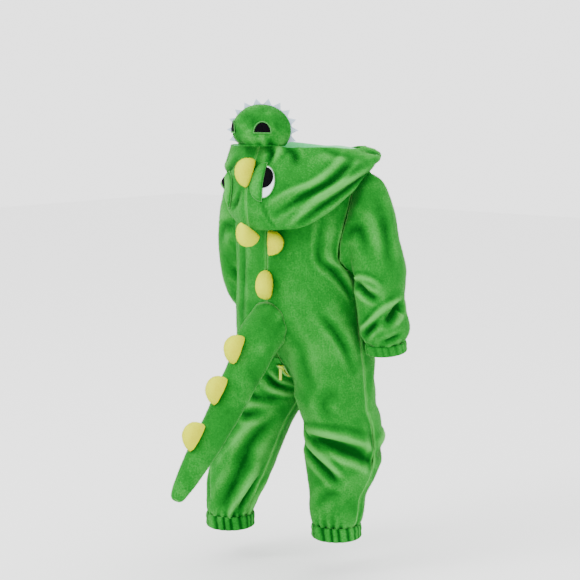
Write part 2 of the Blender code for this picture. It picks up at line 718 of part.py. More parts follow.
def make_spike(name, base, along, out, size=1.0):
    """A stuffed half disc: its flat side is sewn into the seam."""
    across = along.cross(out).normalized()
    outer = []
    inner = []
    for i in range(SPIKE_STEPS + 1):
        top = []
        foot = []
        for j in range(SPIKE_STEPS + 1):
            x, y = disc_place(i, j, SPIKE_STEPS)
            rise, run = half_round(x, y)
            point = base + out * (size * SPIKE_HEIGHT * rise) + along * (size * SPIKE_HALF_LENGTH * run)
            pad = SPIKE_EDGE + size * SPIKE_HALF_THICKNESS * sqrt(max(1 - x * x - y * y, 0.0))
            top.append(point + across * pad)
            foot.append(point - across * pad)
        outer.append(top)
        inner.append(foot)
    return loft(name, outer, inner, False, yellow_plush())


def row_at(side, across, height):
    """The row where the body passes a height."""
    low = 0.0
    high = float(last_row(side))
    for _ in range(24):
        middle = (low + high) / 2
        if body_form(side, across, middle).z > height:
            low = middle
        else:
            high = middle
    return low


def back_depth(x, z):
    """How far back the body's face lies at a place beside the centre back seam."""
    low = 0.0
    high = 0.9
    for _ in range(18):
        across = (low + high) / 2
        if body_form(1, across, row_at(1, across, z)).x < x:
            low = across
        else:
            high = across
    return body_form(1, low, row_at(1, low, z)).y


def tail_frame(place):
    """The tail's middle, its direction and its upward side at a place along it."""
    row = section(TAIL, place)
    ahead = section(TAIL, min(place + 0.1, len(TAIL) - 1.0))
    behind = section(TAIL, max(place - 0.1, 0.0))
    run = Vector((0, ahead.y - behind.y, ahead.z - behind.z)).normalized()
    return Vector((0, row.y, row.z)), run, Vector((0, run.z, -run.y)), row.half


def make_tail_half(name, side):
    """One stuffed half of the tail, with its root shaped to the seat of the back."""
    round_face = []
    flat_face = []
    for i in range(TAIL_RINGS + 1):
        place = i * (len(TAIL) - 1.0) / TAIL_RINGS
        centre, run, up, half = tail_frame(place)
        ring = []
        core = []
        for j in range(TAIL_HALF_COLUMNS + 1):
            angle = pi * j / TAIL_HALF_COLUMNS
            x = half * sin(angle) + GAP
            point = centre + up * half * cos(angle) + Vector((side * x, 0, 0))
            if i == 0:
                z = TAIL_TOP + TAIL_ROOT_HALF * cos(angle)
                point = Vector((side * x, back_depth(x, z) - TAIL_ROOT_ROOM, z))
            ring.append(point)
            middle = back_depth(GAP, point.z) - TAIL_ROOT_ROOM if i == 0 else point.y
            core.append(Vector((side * GAP / 2, middle, point.z)))
        round_face.append(ring)
        flat_face.append(core)
    return loft(name, round_face, flat_face, False, plush())


def ridge_point(place):
    """Point on the tail's ridge, where its halves meet."""
    centre, run, up, half = tail_frame(place)
    return centre + up * half


def make_tail():
    """Both halves of the tail and the three spikes along its ridge."""
    make_tail_half("tail_right", 1)
    make_tail_half("tail_left", -1)
    for k, place in enumerate(TAIL_SPIKES):
        along = (ridge_point(place + RIDGE_STEP) - ridge_point(place - RIDGE_STEP)).normalized()
        up = Vector((0, along.z, -along.y))
        make_spike("tail_spike_%d" % (k + 1), ridge_point(place) + up * TAIL_SPIKE_ROOM, along, up)


def seam_point(height):
    """Point on the centre back seam."""
    return body_form(1, 0.0, row_at(1, 0.0, height))


def make_body_spikes():
    """Two spikes on the hood's centre seam and two on the back under it."""
    point, out = hood_form(1, 0.0, HOOD_SPIKE_PLACES[0])
    upward = Vector((0, -out.z, out.y))
    make_spike("hood_spike_upper", point + out * SPIKE_ROOM, upward, out)
    point, out = hood_form(1, 0.0, HOOD_SPIKE_PLACES[1])
    upward = Vector((0, -out.z, out.y))
    make_spike("hood_spike_lower", point + out * SPIKE_ROOM, upward, out)
    lean = radians(BACK_SPIKE_LEAN)
    out = Vector((sin(lean), -cos(lean), 0))
    base = seam_point(BACK_SPIKE_HEIGHT) + Vector((0.001, -SPIKE_ROOM - 0.001, 0))
    make_spike("back_spike_lower", base, Vector((0, 0, 1)), out)
    base = seam_point(FLAT_SPIKE_HEIGHT) + FLAT_SPIKE_PLACE
    make_spike("back_spike_upper", base, Vector((0, 0, 1)), FLAT_SPIKE_OUT.normalized(), 0.86)


def muzzle_turn():
    """Place, turn and flattening of the muzzle on the hood's face edge."""
    turn = Matrix.Rotation(radians(MUZZLE_TURN), 4, "Z")
    return Matrix.Translation(MUZZLE_CENTRE) @ turn @ Matrix.Scale(MUZZLE_FLATTENED, 4, Vector((0, 0, 1)))


def make_muzzle_half(name, depth, behind, finish):
    """Half of a stuffed dome, flat where the teeth are caught and where it stands on the hood."""
    mesh = bpy.data.meshes.new(name)
    bm = bmesh.new()
    bmesh.ops.create_uvsphere(bm, u_segments=24, v_segments=14, radius=1.0)
    bmesh.ops.scale(bm, verts=bm.verts, vec=(MUZZLE_RADIUS, depth, MUZZLE_RADIUS))
    facing = -1.0 if behind else 1.0
    slit = Vector((0, facing * (FELT / 2 + GAP), 0))
    for place, cut in ((slit, Vector((0, facing, 0))), (Vector((0, 0, -MUZZLE_DROP)), Vector((0, 0, 1)))):
        everything = bm.verts[:] + bm.edges[:] + bm.faces[:]
        bmesh.ops.bisect_plane(bm, geom=everything, plane_co=place, plane_no=cut, clear_inner=True)
        rim = [edge for edge in bm.edges if edge.is_boundary]
        bmesh.ops.contextual_create(bm, geom=rim)
    bmesh.ops.recalc_face_normals(bm, faces=bm.faces)
    bm.to_mesh(mesh)
    bm.free()
    mesh.transform(muzzle_turn())
    mesh.shade_smooth()
    mesh.set_sharp_from_angle(angle=radians(50))
    return add_object(name, mesh, finish)


def make_teeth():
    """A flat band of felt with pointed teeth, caught between the muzzle's halves."""
    turn = muzzle_turn()
    front = []
    back = []
    step = TEETH_ARC / TEETH
    start = pi / 2 - TEETH_ARC / 2
    share = TOOTH_BASE / (step * MUZZLE_RADIUS)
    places = [(0.0, 0.0)]
    for k in range(TEETH):
        middle = k + 0.5
        places += [(middle - share / 2, 0.0), (middle, TOOTH_HEIGHT), (middle + share / 2, 0.0)]
    places.append((float(TEETH), 0.0))
    for place, height in places:
        angle = start + step * place
        way = Vector((cos(angle), 0, sin(angle)))
        radii = (MUZZLE_RADIUS - TEETH_SEAM, MUZZLE_RADIUS + TEETH_STAND, MUZZLE_RADIUS + TEETH_STAND + height)
        radii = radii if height else radii[:2] + (radii[1] + TEETH_EDGE,)
        front.append([turn @ (way * r + Vector((0, FELT / 2, 0))) for r in radii])
        back.append([turn @ (way * r - Vector((0, FELT / 2, 0))) for r in radii])
    return loft("muzzle_teeth", front, back, False, material("white_felt", WHITE, 0.9))


def make_nostril(name, side):
    """A black patch with a flat lower edge, on the muzzle's back."""
    turn = muzzle_turn()

    def place_on(x, y):
        rise, run = half_round(x, y)
        across = NOSTRIL_PLACE * side + NOSTRIL_HALF * run - NOSTRIL_SHIFT
        height = NOSTRIL_FOOT + NOSTRIL_RISE * rise
        way = Vector((sin(across / MUZZLE_RADIUS), -cos(across / MUZZLE_RADIUS), height / MUZZLE_RADIUS))
        way.normalize()
        scale = Vector((way.x / MUZZLE_RADIUS, way.y / MUZZLE_DEPTH, way.z / MUZZLE_RADIUS)).length
        point = way / scale
        square = Vector((point.x, point.y * (MUZZLE_RADIUS / MUZZLE_DEPTH) ** 2, point.z)).normalized()
        return turn @ (point + square * LIFT), turn.to_3x3() @ square

    return make_patch(name, place_on, PATCH_STEPS, FELT, 0.0, material("black_patch", BLACK, 0.8))


def make_muzzle():
    """The stuffed muzzle, its felt teeth and its two nostrils."""
    make_muzzle_half("muzzle_top", MUZZLE_DEPTH, True, plush())
    make_muzzle_half("muzzle_under", MUZZLE_UNDER_DEPTH, False, material("mint_lining", MINT, 0.85))
    make_teeth()
    make_nostril("nostril_right", 1)
    make_nostril("nostril_left", -1)


def hood_place(side, turn, height):
    """A place on the hood's outer layer in a direction and at a height, and its outward direction."""
    rows = hood_table(side)
    turns = [row.turn for row in rows]
    low = 0.0
    high = len(rows) - 1.0
    for _ in range(20):
        middle = (low + high) / 2
        low, high = (middle, high) if smooth_value(turns, middle) < turn else (low, middle)
    place = low
    low = 4.0
    high = 6.0
    for _ in range(20):
        middle = (low + high) / 2
        low, high = (middle, high) if hood_form(side, place, middle)[0].z < height else (low, middle)
    return hood_form(side, place, low)


def make_eye(side, word):
    """One eye: a white patch, its black pupil and a padded lid along its inner edge."""

    shift, drop = (0.0, 0.0) if side > 0 else (LEFT_EYE_SHIFT, LEFT_EYE_DROP)

    def spot(across, height, lift):
        turn = abs(across + shift) / HOOD_ROUND * 180 / pi
        point, out = hood_place(side, turn, EYE_HEIGHT - drop + height)
        return point + out * lift, out

    def white_place(x, y):
        rise, run = half_round(x, y)
        return spot(EYE_ACROSS + EYE_WIDE * rise, EYE_HALF * run, LIFT)

    def pupil_place(x, y):
        rise, run = half_round(x, y)
        return spot(EYE_ACROSS + PUPIL_WIDE * rise, PUPIL_UP + PUPIL_HALF * run, 2 * LIFT + FELT)

    def lid_place(x, y):
        rise, run = half_round(x, y)
        return spot(EYE_ACROSS - LID_ROOM - LID_WIDE * rise, LID_HALF * run, LIFT)

    make_patch("eye_white_" + word, white_place, PATCH_STEPS, FELT, 0.0, material("white_felt", WHITE, 0.9))
    make_patch("eye_pupil_" + word, pupil_place, PATCH_STEPS, FELT / 2, 0.0, material("black_patch", BLACK, 0.8))
    make_patch("eyelid_" + word, lid_place, PATCH_STEPS, FELT, LID_PAD, plush())


def make_placket():
    """The front fastening: a strip over the centre front seam, with plain press studs."""
    rows = range(PLACKET_ROWS[0], PLACKET_ROWS[1] + 1)
    lifts = (PLACKET_LIFT, PLACKET_LIFT + CLOTH)
    right = seam_strip(1, False, rows, PLACKET_SHARES, lifts)
    left = seam_strip(-1, False, rows, tuple(reversed(PLACKET_SHARES)), lifts)
    foot, top = [[a + b for a, b in zip(left[k], right[k])] for k in (0, 1)]
    loft("front_placket", top, foot, False, plush())
    for k in range(STUDS):
        row = mix(PLACKET_ROWS[0], PLACKET_ROWS[1], (k + 0.5) / STUDS)
        point = body_form(1, 2.0, row)
        out = body_normal(1, 2.0, row)
        out.x = 0.0
        out.normalize()
        mesh = bpy.data.meshes.new("press_stud_%d" % (k + 1))
        bm = bmesh.new()
        bmesh.ops.create_cone(bm, cap_ends=True, segments=16, radius1=STUD_RADIUS, radius2=STUD_RADIUS * 0.7,
                              depth=STUD_HEIGHT)
        bm.to_mesh(mesh)
        bm.free()
        stand = PLACKET_LIFT + CLOTH + STUD_LIFT + STUD_HEIGHT / 2
        place = Matrix.Translation(point + out * stand) @ out.to_track_quat("Z", "Y").to_matrix().to_4x4()
        mesh.transform(place)
        mesh.shade_smooth()
        mesh.set_sharp_from_angle(angle=radians(40))
        add_object(mesh.name, mesh, material("stud_plastic", PLUSH_GREEN, 0.4))


def box_mesh(name, size, place, finish, bevel):
    """A small block with softened edges."""
    mesh = bpy.data.meshes.new(name)
    bm = bmesh.new()
    bmesh.ops.create_cube(bm, size=1.0)
    bmesh.ops.scale(bm, verts=bm.verts, vec=size)
    bmesh.ops.bevel(bm, geom=bm.edges[:], offset=bevel, segments=1, affect="EDGES")
    bm.to_mesh(mesh)
    bm.free()
    mesh.transform(place)
    return add_object(name, mesh, finish)


def zip_frame(height):
    """Place and standing directions of the zip on the seat, at a height."""
    row = row_at(1, 0.0, height)
    point = body_form(1, 0.0, row)
    down = (body_form(1, 0.0, row + 0.1) - body_form(1, 0.0, row - 0.1))
    down.x = 0.0
    down.normalize()
    return point, down, Vector((0, down.z, -down.y))


def make_zip():
    """Tapes, garage patch, slider and hanging pull tab of the zip under the tail."""
    lime = material("lime_plastic", LIME, 0.45)
    for side, word in ((1, "right"), (-1, "left")):
        rows = range(ZIP_ROWS[0], ZIP_ROWS[1] + 1)
        foot, top = seam_strip(side, True, rows, TAPE_SHARES, (TAPE_LIFT, TAPE_LIFT + TAPE))
        loft("zip_tape_" + word, top, foot, False, lime)
    point, down, out = zip_frame(ZIP_TOP - SLIDER_LENGTH / 2)
    turn = Matrix((Vector((1, 0, 0)), -down, out)).transposed().to_4x4()
    stand = LIFT + TAPE + ZIP_ROOM
    place = Matrix.Translation(point + out * (stand + SLIDER_THICK / 2)) @ turn
    box_mesh("zip_slider", (SLIDER_WIDE, SLIDER_LENGTH, SLIDER_THICK), place, lime, 0.0006)
    point, down, out = zip_frame(ZIP_TOP + PATCH_SIZE / 2 + 0.002)
    turn = Matrix((Vector((1, 0, 0)), -down, out)).transposed().to_4x4()
    place = Matrix.Translation(point + out * (PATCH_STAND + FELT / 2)) @ turn
    box_mesh("zip_patch", (PATCH_SIZE, PATCH_SIZE, FELT), place, plush(), 0.0003)
    pivot = pull_pivot()
    place = Matrix.Translation((0, 0, -PULL_LENGTH / 2))
    pull = box_mesh("zip_pull", (PULL_WIDE, PULL_THICK, PULL_LENGTH), place, lime, 0.0005)
    pull.location = pivot


def pull_pivot():
    """The pull tab's hinge line, just outside the slider."""
    point, down, out = zip_frame(ZIP_TOP - SLIDER_LENGTH / 2)
    return point + out * (LIFT + TAPE + ZIP_ROOM + SLIDER_THICK + PULL_THICK / 2 + 2 * GAP)


def make_costume():
    """Every piece of the costume."""
    clear_scene()
    room = bpy.data.collections.new("dinosaur_costume")
    bpy.context.scene.collection.children.link(room)
    for name, side, behind in (("back_right", 1, True), ("back_left", -1, True),
                               ("front_right", 1, False), ("front_left", -1, False)):
        make_panel(name, side, behind)
    make_sleeve("sleeve_right", 1, RIGHT_FAN, RIGHT_ARM)
    make_sleeve("sleeve_left", -1, LEFT_FAN, LEFT_ARM)
    make_cuffs()
    make_hood("hood_right", 1)
    make_hood("hood_left", -1)
    make_hood_lining()
    make_muzzle()
    make_eye(1, "right")
    make_eye(-1, "left")
    make_body_spikes()
    make_tail()
    make_placket()
    make_zip()


make_costume()
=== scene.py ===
"""A toddler's dinosaur costume in green plush, seen from behind: cloth, stuffing, sewing and trims."""
import json
from collections import namedtuple
from math import atan2, copysign, cos, exp, pi, radians, sin, sqrt, tan

import bmesh
import bpy
import numpy as np
from mathutils import Matrix, Vector, noise

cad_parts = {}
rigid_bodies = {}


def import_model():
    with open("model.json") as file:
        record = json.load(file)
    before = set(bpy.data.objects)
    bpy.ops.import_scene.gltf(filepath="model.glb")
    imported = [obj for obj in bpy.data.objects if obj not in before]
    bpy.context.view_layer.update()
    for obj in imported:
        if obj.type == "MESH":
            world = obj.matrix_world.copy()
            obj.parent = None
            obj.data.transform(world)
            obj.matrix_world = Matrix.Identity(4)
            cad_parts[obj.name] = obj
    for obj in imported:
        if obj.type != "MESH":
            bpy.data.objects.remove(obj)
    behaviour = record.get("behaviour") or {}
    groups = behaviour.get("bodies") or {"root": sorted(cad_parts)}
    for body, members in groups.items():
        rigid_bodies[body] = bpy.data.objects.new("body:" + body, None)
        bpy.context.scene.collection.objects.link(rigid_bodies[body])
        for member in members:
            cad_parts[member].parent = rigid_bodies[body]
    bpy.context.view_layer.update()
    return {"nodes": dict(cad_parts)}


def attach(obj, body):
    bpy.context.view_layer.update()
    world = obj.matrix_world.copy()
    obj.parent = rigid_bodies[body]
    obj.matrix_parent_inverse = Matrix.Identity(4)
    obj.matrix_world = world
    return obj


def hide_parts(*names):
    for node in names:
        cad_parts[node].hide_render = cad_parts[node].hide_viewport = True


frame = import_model()

# Back and front halves
# Four cut panels of short green plush, each from the neckline to the ankle, sewn at the centre, shoulders and sides.
# Their creases are pressed in, and elastic in the leg cuffs gathers their lower edges into flutes.
CLOTH = 0.0025          # plush cloth, with its pile pressed down
GAP = 0.0003            # room between two sewn pieces
LIFT = 0.0004           # room under a patch that lies on a panel
Torso = namedtuple("Torso", "z_back z_side z_front wide back front arm_back arm_front leg")
TORSO = [
    Torso(0.006, 0.000, -0.020, 0.058, 0.055, 0.056, 1.00, 1.00, 0.00),
    Torso(-0.008, -0.005, -0.036, 0.080, 0.068, 0.068, 1.00, 1.00, 0.00),
    Torso(-0.030, -0.016, -0.056, 0.106, 0.079, 0.080, 1.00, 1.00, 0.00),
    Torso(-0.056, -0.045, -0.080, 0.113, 0.086, 0.088, 0.91, 0.88, 0.00),
    Torso(-0.085, -0.078, -0.102, 0.112, 0.090, 0.092, 0.86, 0.79, 0.00),
    Torso(-0.115, -0.108, -0.126, 0.110, 0.091, 0.094, 0.81, 0.76, 0.00),
    Torso(-0.145, -0.135, -0.152, 0.108, 0.091, 0.095, 0.77, 0.76, 0.00),
    Torso(-0.170, -0.157, -0.176, 0.107, 0.091, 0.095, 0.78, 0.79, 0.00),
    Torso(-0.190, -0.172, -0.196, 0.106, 0.091, 0.095, 0.87, 0.88, 0.00),
    Torso(-0.206, -0.181, -0.212, 0.106, 0.091, 0.095, 1.00, 1.00, 0.00),
    Torso(-0.230, -0.205, -0.236, 0.107, 0.091, 0.095, 1.00, 1.00, 0.00),
    Torso(-0.255, -0.235, -0.262, 0.109, 0.090, 0.095, 1.00, 1.00, 0.00),
    Torso(-0.280, -0.265, -0.289, 0.112, 0.086, 0.092, 1.00, 1.00, 0.02),
    Torso(-0.305, -0.294, -0.315, 0.115, 0.083, 0.088, 1.00, 1.00, 0.14),
    Torso(-0.329, -0.322, -0.338, 0.118, 0.082, 0.086, 1.00, 1.00, 0.34),
    Torso(-0.349, -0.348, -0.357, 0.121, 0.080, 0.084, 1.00, 1.00, 0.58),
    Torso(-0.364, -0.372, -0.369, 0.124, 0.078, 0.082, 1.00, 1.00, 0.82),
    Torso(-0.374, -0.395, -0.375, 0.126, 0.076, 0.080, 1.00, 1.00, 1.00),
]
Ring = namedtuple("Ring", "z x y wide deep")
RIGHT_LEG = [
    Ring(-0.395, 0.0635, 0.002, 0.0632, 0.067),
    Ring(-0.420, 0.0675, 0.010, 0.0640, 0.065),
    Ring(-0.447, 0.0690, 0.017, 0.0615, 0.062),
    Ring(-0.472, 0.0695, 0.016, 0.0620, 0.062),
    Ring(-0.497, 0.0700, 0.012, 0.0590, 0.058),
    Ring(-0.520, 0.0700, 0.006, 0.0520, 0.051),
    Ring(-0.540, 0.0690, 0.002, 0.0450, 0.045),
    Ring(-0.562, 0.0690, 0.000, 0.0440, 0.044),
    Ring(-0.578, 0.0690, -0.001, 0.0410, 0.041),
    Ring(-0.588, 0.0690, -0.001, 0.0365, 0.0365),
]
LEFT_LEG = [
    Ring(-0.395, 0.0635, 0.002, 0.0632, 0.067),
    Ring(-0.420, 0.0710, -0.010, 0.0610, 0.063),
    Ring(-0.447, 0.0800, -0.021, 0.0570, 0.058),
    Ring(-0.472, 0.0880, -0.028, 0.0560, 0.056),
    Ring(-0.497, 0.0955, -0.034, 0.0550, 0.055),
    Ring(-0.520, 0.1020, -0.039, 0.0530, 0.053),
    Ring(-0.540, 0.1075, -0.043, 0.0490, 0.049),
    Ring(-0.562, 0.1125, -0.046, 0.0440, 0.044),
    Ring(-0.580, 0.1160, -0.048, 0.0400, 0.040),
    Ring(-0.592, 0.1170, -0.048, 0.0365, 0.0365),
]
SEAT_ROW = len(TORSO) - 1
SQUARENESS = 0.80
SEAT_RING = 0.060       # radius of the leg's ring where it starts inside the seat
SEAM_MARGIN = 0.0012    # share of the body's quarter left free at each seam
PANEL_COLUMNS = 42
ROW_STEPS = 6            # grid lines for each row of the tables
FINER = 2                # the back's grid lines for each line of the front's
SEAM_PINCH = 0.0008
SEAM_REACH = 0.0030
# painted highlight along the seams, as a share of the colour's range
SEAM_PAINTED_HIGHLIGHT = 0.26
FLUTES = 9
FLUTE_DEPTH = 0.0024
FLUTE_ROWS = 2.6
SOFT_WAVE = 0.0013
SOFT_SCALE = 17.0
# A crease runs through (row, share) places; a depth below zero is a ridge.
Crease = namedtuple("Crease", "piece depth width path")
CREASES = [
    Crease("back_right", 0.0052, 0.0066, ((4.4, 0.66), (6.5, 0.70), (8.5, 0.80), (10.2, 0.93))),
    Crease("back_right", -0.0030, 0.0060, ((4.4, 0.82), (6.5, 0.87), (8.5, 0.92), (10.4, 0.98))),
    Crease("back_right", 0.0036, 0.0080, ((10.6, 0.50), (11.6, 0.64), (12.9, 0.80), (14.2, 0.88))),
    Crease("back_right", -0.0030, 0.0120, ((10.8, 0.72), (12.0, 0.84), (13.2, 0.93))),
    Crease("back_right", 0.0030, 0.0120, ((11.5, 0.16), (12.8, 0.28), (14.0, 0.34), (15.5, 0.52))),
    Crease("back_right", -0.0022, 0.0140, ((13.0, 0.16), (14.4, 0.22), (15.6, 0.36))),
    Crease("back_right", 0.0040, 0.0120, ((15.6, 0.70), (16.6, 0.62), (17.8, 0.66))),
    Crease("back_right", -0.0060, 0.0085, ((18.9, 0.30), (18.65, 0.52), (18.6, 0.74), (19.1, 0.94))),
    Crease("back_right", 0.0125, 0.0105, ((19.15, 0.46), (19.35, 0.66), (19.75, 0.84), (20.3, 0.97))),
    Crease("back_right", -0.0050, 0.0060, ((18.8, 0.18), (19.6, 0.36), (20.3, 0.58), (21.0, 0.68))),
    Crease("back_right", 0.0070, 0.0080, ((19.7, 0.20), (20.3, 0.42), (21.1, 0.60), (21.6, 0.68))),
    Crease("back_right", 0.0035, 0.0100, ((22.2, 0.72), (22.8, 0.56), (23.6, 0.46))),
    Crease("back_right", 0.0035, 0.0075, ((17.6, 0.97), (19.0, 0.98), (21.0, 0.98))),
    Crease("back_left", 0.0030, 0.0085, ((4.6, 0.30), (8.0, 0.33), (12.0, 0.30))),
    Crease("back_left", -0.0036, 0.0060, ((14.6, 0.16), (15.6, 0.14), (16.8, 0.05))),
    Crease("back_left", 0.0045, 0.0060, ((15.0, 0.24), (16.0, 0.20), (17.0, 0.10))),
    Crease("back_left", -0.0036, 0.0060, ((15.4, 0.36), (16.7, 0.27), (17.3, 0.08))),
    Crease("back_left", 0.0060, 0.0080, ((16.4, 0.52), (17.2, 0.42), (17.5, 0.22))),
    Crease("back_left", 0.0050, 0.0085, ((17.6, 0.60), (18.2, 0.45), (18.2, 0.27))),
    Crease("back_left", -0.0050, 0.0110, ((18.2, 0.20), (18.9, 0.34), (20.2, 0.46), (21.5, 0.55))),
    Crease("back_left", 0.0085, 0.0130, ((18.9, 0.18), (19.9, 0.26), (21.5, 0.28), (23.4, 0.34), (24.6, 0.42))),
    Crease("back_left", -0.0045, 0.0080, ((21.6, 0.12), (23.4, 0.20), (25.4, 0.30))),
    Crease("back_left", 0.0055, 0.0070, ((22.6, 0.05), (24.0, 0.12), (25.6, 0.20))),
    Crease("back_left", 0.0040, 0.0110, ((20.6, 0.85), (22.4, 0.72), (24.4, 0.62))),
    Crease("front_left", -0.0040, 0.0070, ((22.6, 0.12), (24.0, 0.06), (25.6, 0.05))),
    Crease("front_left", 0.0050, 0.0070, ((22.0, 0.26), (23.6, 0.17), (25.4, 0.14))),
    Crease("front_right", 0.0050, 0.0110, ((5.0, 0.70), (8.0, 0.72), (10.4, 0.88))),
    Crease("front_right", 0.0048, 0.0110, ((11.0, 0.25), (13.4, 0.52), (15.4, 0.78))),
    Crease("front_right", 0.0085, 0.0110, ((19.3, 0.20), (19.5, 0.55), (20.0, 0.92))),
    Crease("front_right", -0.0050, 0.0090, ((18.7, 0.25), (18.8, 0.60), (19.2, 0.94))),
    Crease("front_right", 0.0045, 0.0100, ((21.2, 0.80), (22.0, 0.55), (22.8, 0.35))),
    Crease("front_left", 0.0046, 0.0110, ((5.2, 0.66), (8.0, 0.70), (10.4, 0.86))),
    Crease("front_left", 0.0048, 0.0120, ((11.4, 0.70), (13.4, 0.46), (15.6, 0.22))),
    Crease("front_left", 0.0070, 0.0110, ((19.0, 0.30), (20.4, 0.55), (21.6, 0.85))),
    Crease("front_left", -0.0040, 0.0100, ((18.6, 0.36), (19.8, 0.62), (20.8, 0.90))),
]


def smooth_value(values, place):
    """Value at a place between rows, on a smooth curve through all of them."""
    last = len(values) - 1
    place = min(max(place, 0.0), float(last))
    low = min(int(place), last - 1)
    f = place - low
    before = values[max(low - 1, 0)]
    start = values[low]
    end = values[low + 1]
    after = values[min(low + 2, last)]
    bend = 2 * before - 5 * start + 4 * end - after
    twist = 3 * (start - end) + after - before
    return start + 0.5 * f * (end - before + f * (bend + f * twist))


def section(table, place):
    """The table's row at a place between its rows."""
    columns = zip(*table)
    return type(table[0])(*[smooth_value(column, place) for column in columns])


def mix(a, b, share):
    return a + (b - a) * share


def leg_table(side):
    return RIGHT_LEG if side > 0 else LEFT_LEG


def last_row(side):
    """Number of the ankle's row, counted from the neckline."""
    return SEAT_ROW + len(leg_table(side)) - 1


def body_form(side, across, row):
    """Point on one side of the body: across 0 is the centre back, 1 the side, 2 the centre front."""
    torso = section(TORSO, min(row, SEAT_ROW))
    rings = leg_table(side)
    leg = section(rings, max(row - SEAT_ROW, 0.0))
    behind = across <= 1.0
    turn = across * pi / 2
    x = copysign(torso.wide * abs(sin(turn)) ** SQUARENESS, sin(turn))
    depth = -torso.back if behind else torso.front
    y = depth * abs(cos(turn)) ** SQUARENESS
    radius = leg.wide if row > SEAT_ROW else mix(SEAT_RING, leg.wide, torso.leg)
    centre = leg.x if row > SEAT_ROW else radius + (leg.x - leg.wide) * torso.leg
    leg_x = centre - radius * cos(across * pi)
    leg_y = leg.y - leg.deep * sin(across * pi)
    middle = torso.z_back if behind else torso.z_front
    z = mix(torso.z_side, middle, cos(turn) ** 2)
    if row > SEAT_ROW:
        drop = (leg.z - rings[0].z) / (rings[-1].z - rings[0].z)
        z = mix(z, rings[-1].z, drop)
    return Vector((side * mix(x, leg_x, torso.leg), mix(y, leg_y, torso.leg), z))


def body_normal(side, across, row):
    """Direction away from the hollow at a point of the body."""
    step = 0.02
    low = max(row - step, 0.0)
    high = min(row + step, float(last_row(side)))
    along = body_form(side, across + step, row) - body_form(side, across - step, row)
    down = body_form(side, across, high) - body_form(side, across, low)
    return (side * down.cross(along)).normalized()


def reach(row, behind):
    """How far round a panel goes towards the side in this row."""
    torso = section(TORSO, min(row, SEAT_ROW))
    return min(torso.arm_back if behind else torso.arm_front, 1.0)


def panel_place(row, share, behind):
    """The body's across value at a share of a panel's width, clear of both seams."""
    across = mix(SEAM_MARGIN, reach(row, behind) - SEAM_MARGIN, share)
    return across if behind else 2.0 - across


def crease_depth(places, creases, locate):
    """Depth of the creases at an array of places, each with a low swell on its two sides."""
    total = np.zeros(len(places))
    for crease in creases:
        knots = [locate(*knot) for knot in crease.path]
        steps = len(knots) * 5
        line = [[smooth_value([k[a] for k in knots], (len(knots) - 1.0) * i / steps) for a in range(3)]
                for i in range(steps + 1)]
        line = np.array(line)
        nearest = np.full(len(places), 1.0)
        along = np.zeros(len(places))
        for i in range(steps):
            run = line[i + 1] - line[i]
            share = np.clip((places - line[i]) @ run / max(run @ run, 1e-12), 0.0, 1.0)
            away = np.linalg.norm(places - line[i] - share[:, None] * run, axis=1)
            closer = away < nearest
            nearest[closer] = away[closer]
            along[closer] = (i + share[closer]) / steps
        ratio = nearest / crease.width
        fade = np.sin(pi * (0.06 + 0.88 * along)) ** 0.8
        total += crease.depth * fade * (np.exp(-1.2 * ratio ** 1.5) - 0.34 * np.exp(-((ratio - 1.6) / 0.62) ** 2))
    return total


def soft_wave(places, amount, scale):
    """The cloth's small unevenness."""
    return np.array([amount * noise.fractal(Vector(p) * scale, 0.8, 2.2, 3) for p in places])


def shell(name, outer, inner, closed, finish, painted_shading=None):
    """A wall between two grids of points, with the painted shade and highlight at each place kept for the finish."""
    rows = len(outer)
    columns = len(outer[0])
    count = rows * columns
    points = np.concatenate([np.asarray(outer, float).reshape(-1, 3), np.asarray(inner, float).reshape(-1, 3)])
    faces = []
    steps = columns if closed else columns - 1
    for i in range(rows - 1):
        for j in range(steps):
            k = (j + 1) % columns
            a, b, c, d = i * columns + j, (i + 1) * columns + j, (i + 1) * columns + k, i * columns + k
            faces.append((a, b, c, d))
            faces.append((count + a, count + d, count + c, count + b))
    last = (rows - 1) * columns
    for j in range(steps):
        k = (j + 1) % columns
        faces.append((j, k, count + k, count + j))
        faces.append((last + k, last + j, count + last + j, count + last + k))
    if not closed:
        for i in range(rows - 1):
            a, b = i * columns, (i + 1) * columns
            faces.append((b, a, count + a, count + b))
            a, b = a + columns - 1, b + columns - 1
            faces.append((a, b, count + b, count + a))
    mesh = bpy.data.meshes.new(name)
    mesh.from_pydata(points.tolist(), [], faces)
    # Painted shade and highlight of each place, read by the finish.
    value = np.zeros(2 * count) if painted_shading is None else np.tile(np.asarray(painted_shading, float).reshape(-1), 2)
    mesh.attributes.new("painted_shading", "FLOAT", "POINT").data.foreach_set("value", value)
    outside = np.repeat((1.0, 0.0), count)
    mesh.attributes.new("outside", "FLOAT", "POINT").data.foreach_set("value", outside)
    return finished(name, mesh, finish)


def finished(name, mesh, finish):
    """A smooth piece with its faces turned outwards."""
    bm = bmesh.new()
    bm.from_mesh(mesh)
    bmesh.ops.recalc_face_normals(bm, faces=bm.faces)
    bm.to_mesh(mesh)
    bm.free()
    mesh.shade_smooth()
    mesh.materials.append(finish)
    made = bpy.data.objects.new(name, mesh)
    bpy.context.scene.collection.objects.link(made)
    return made


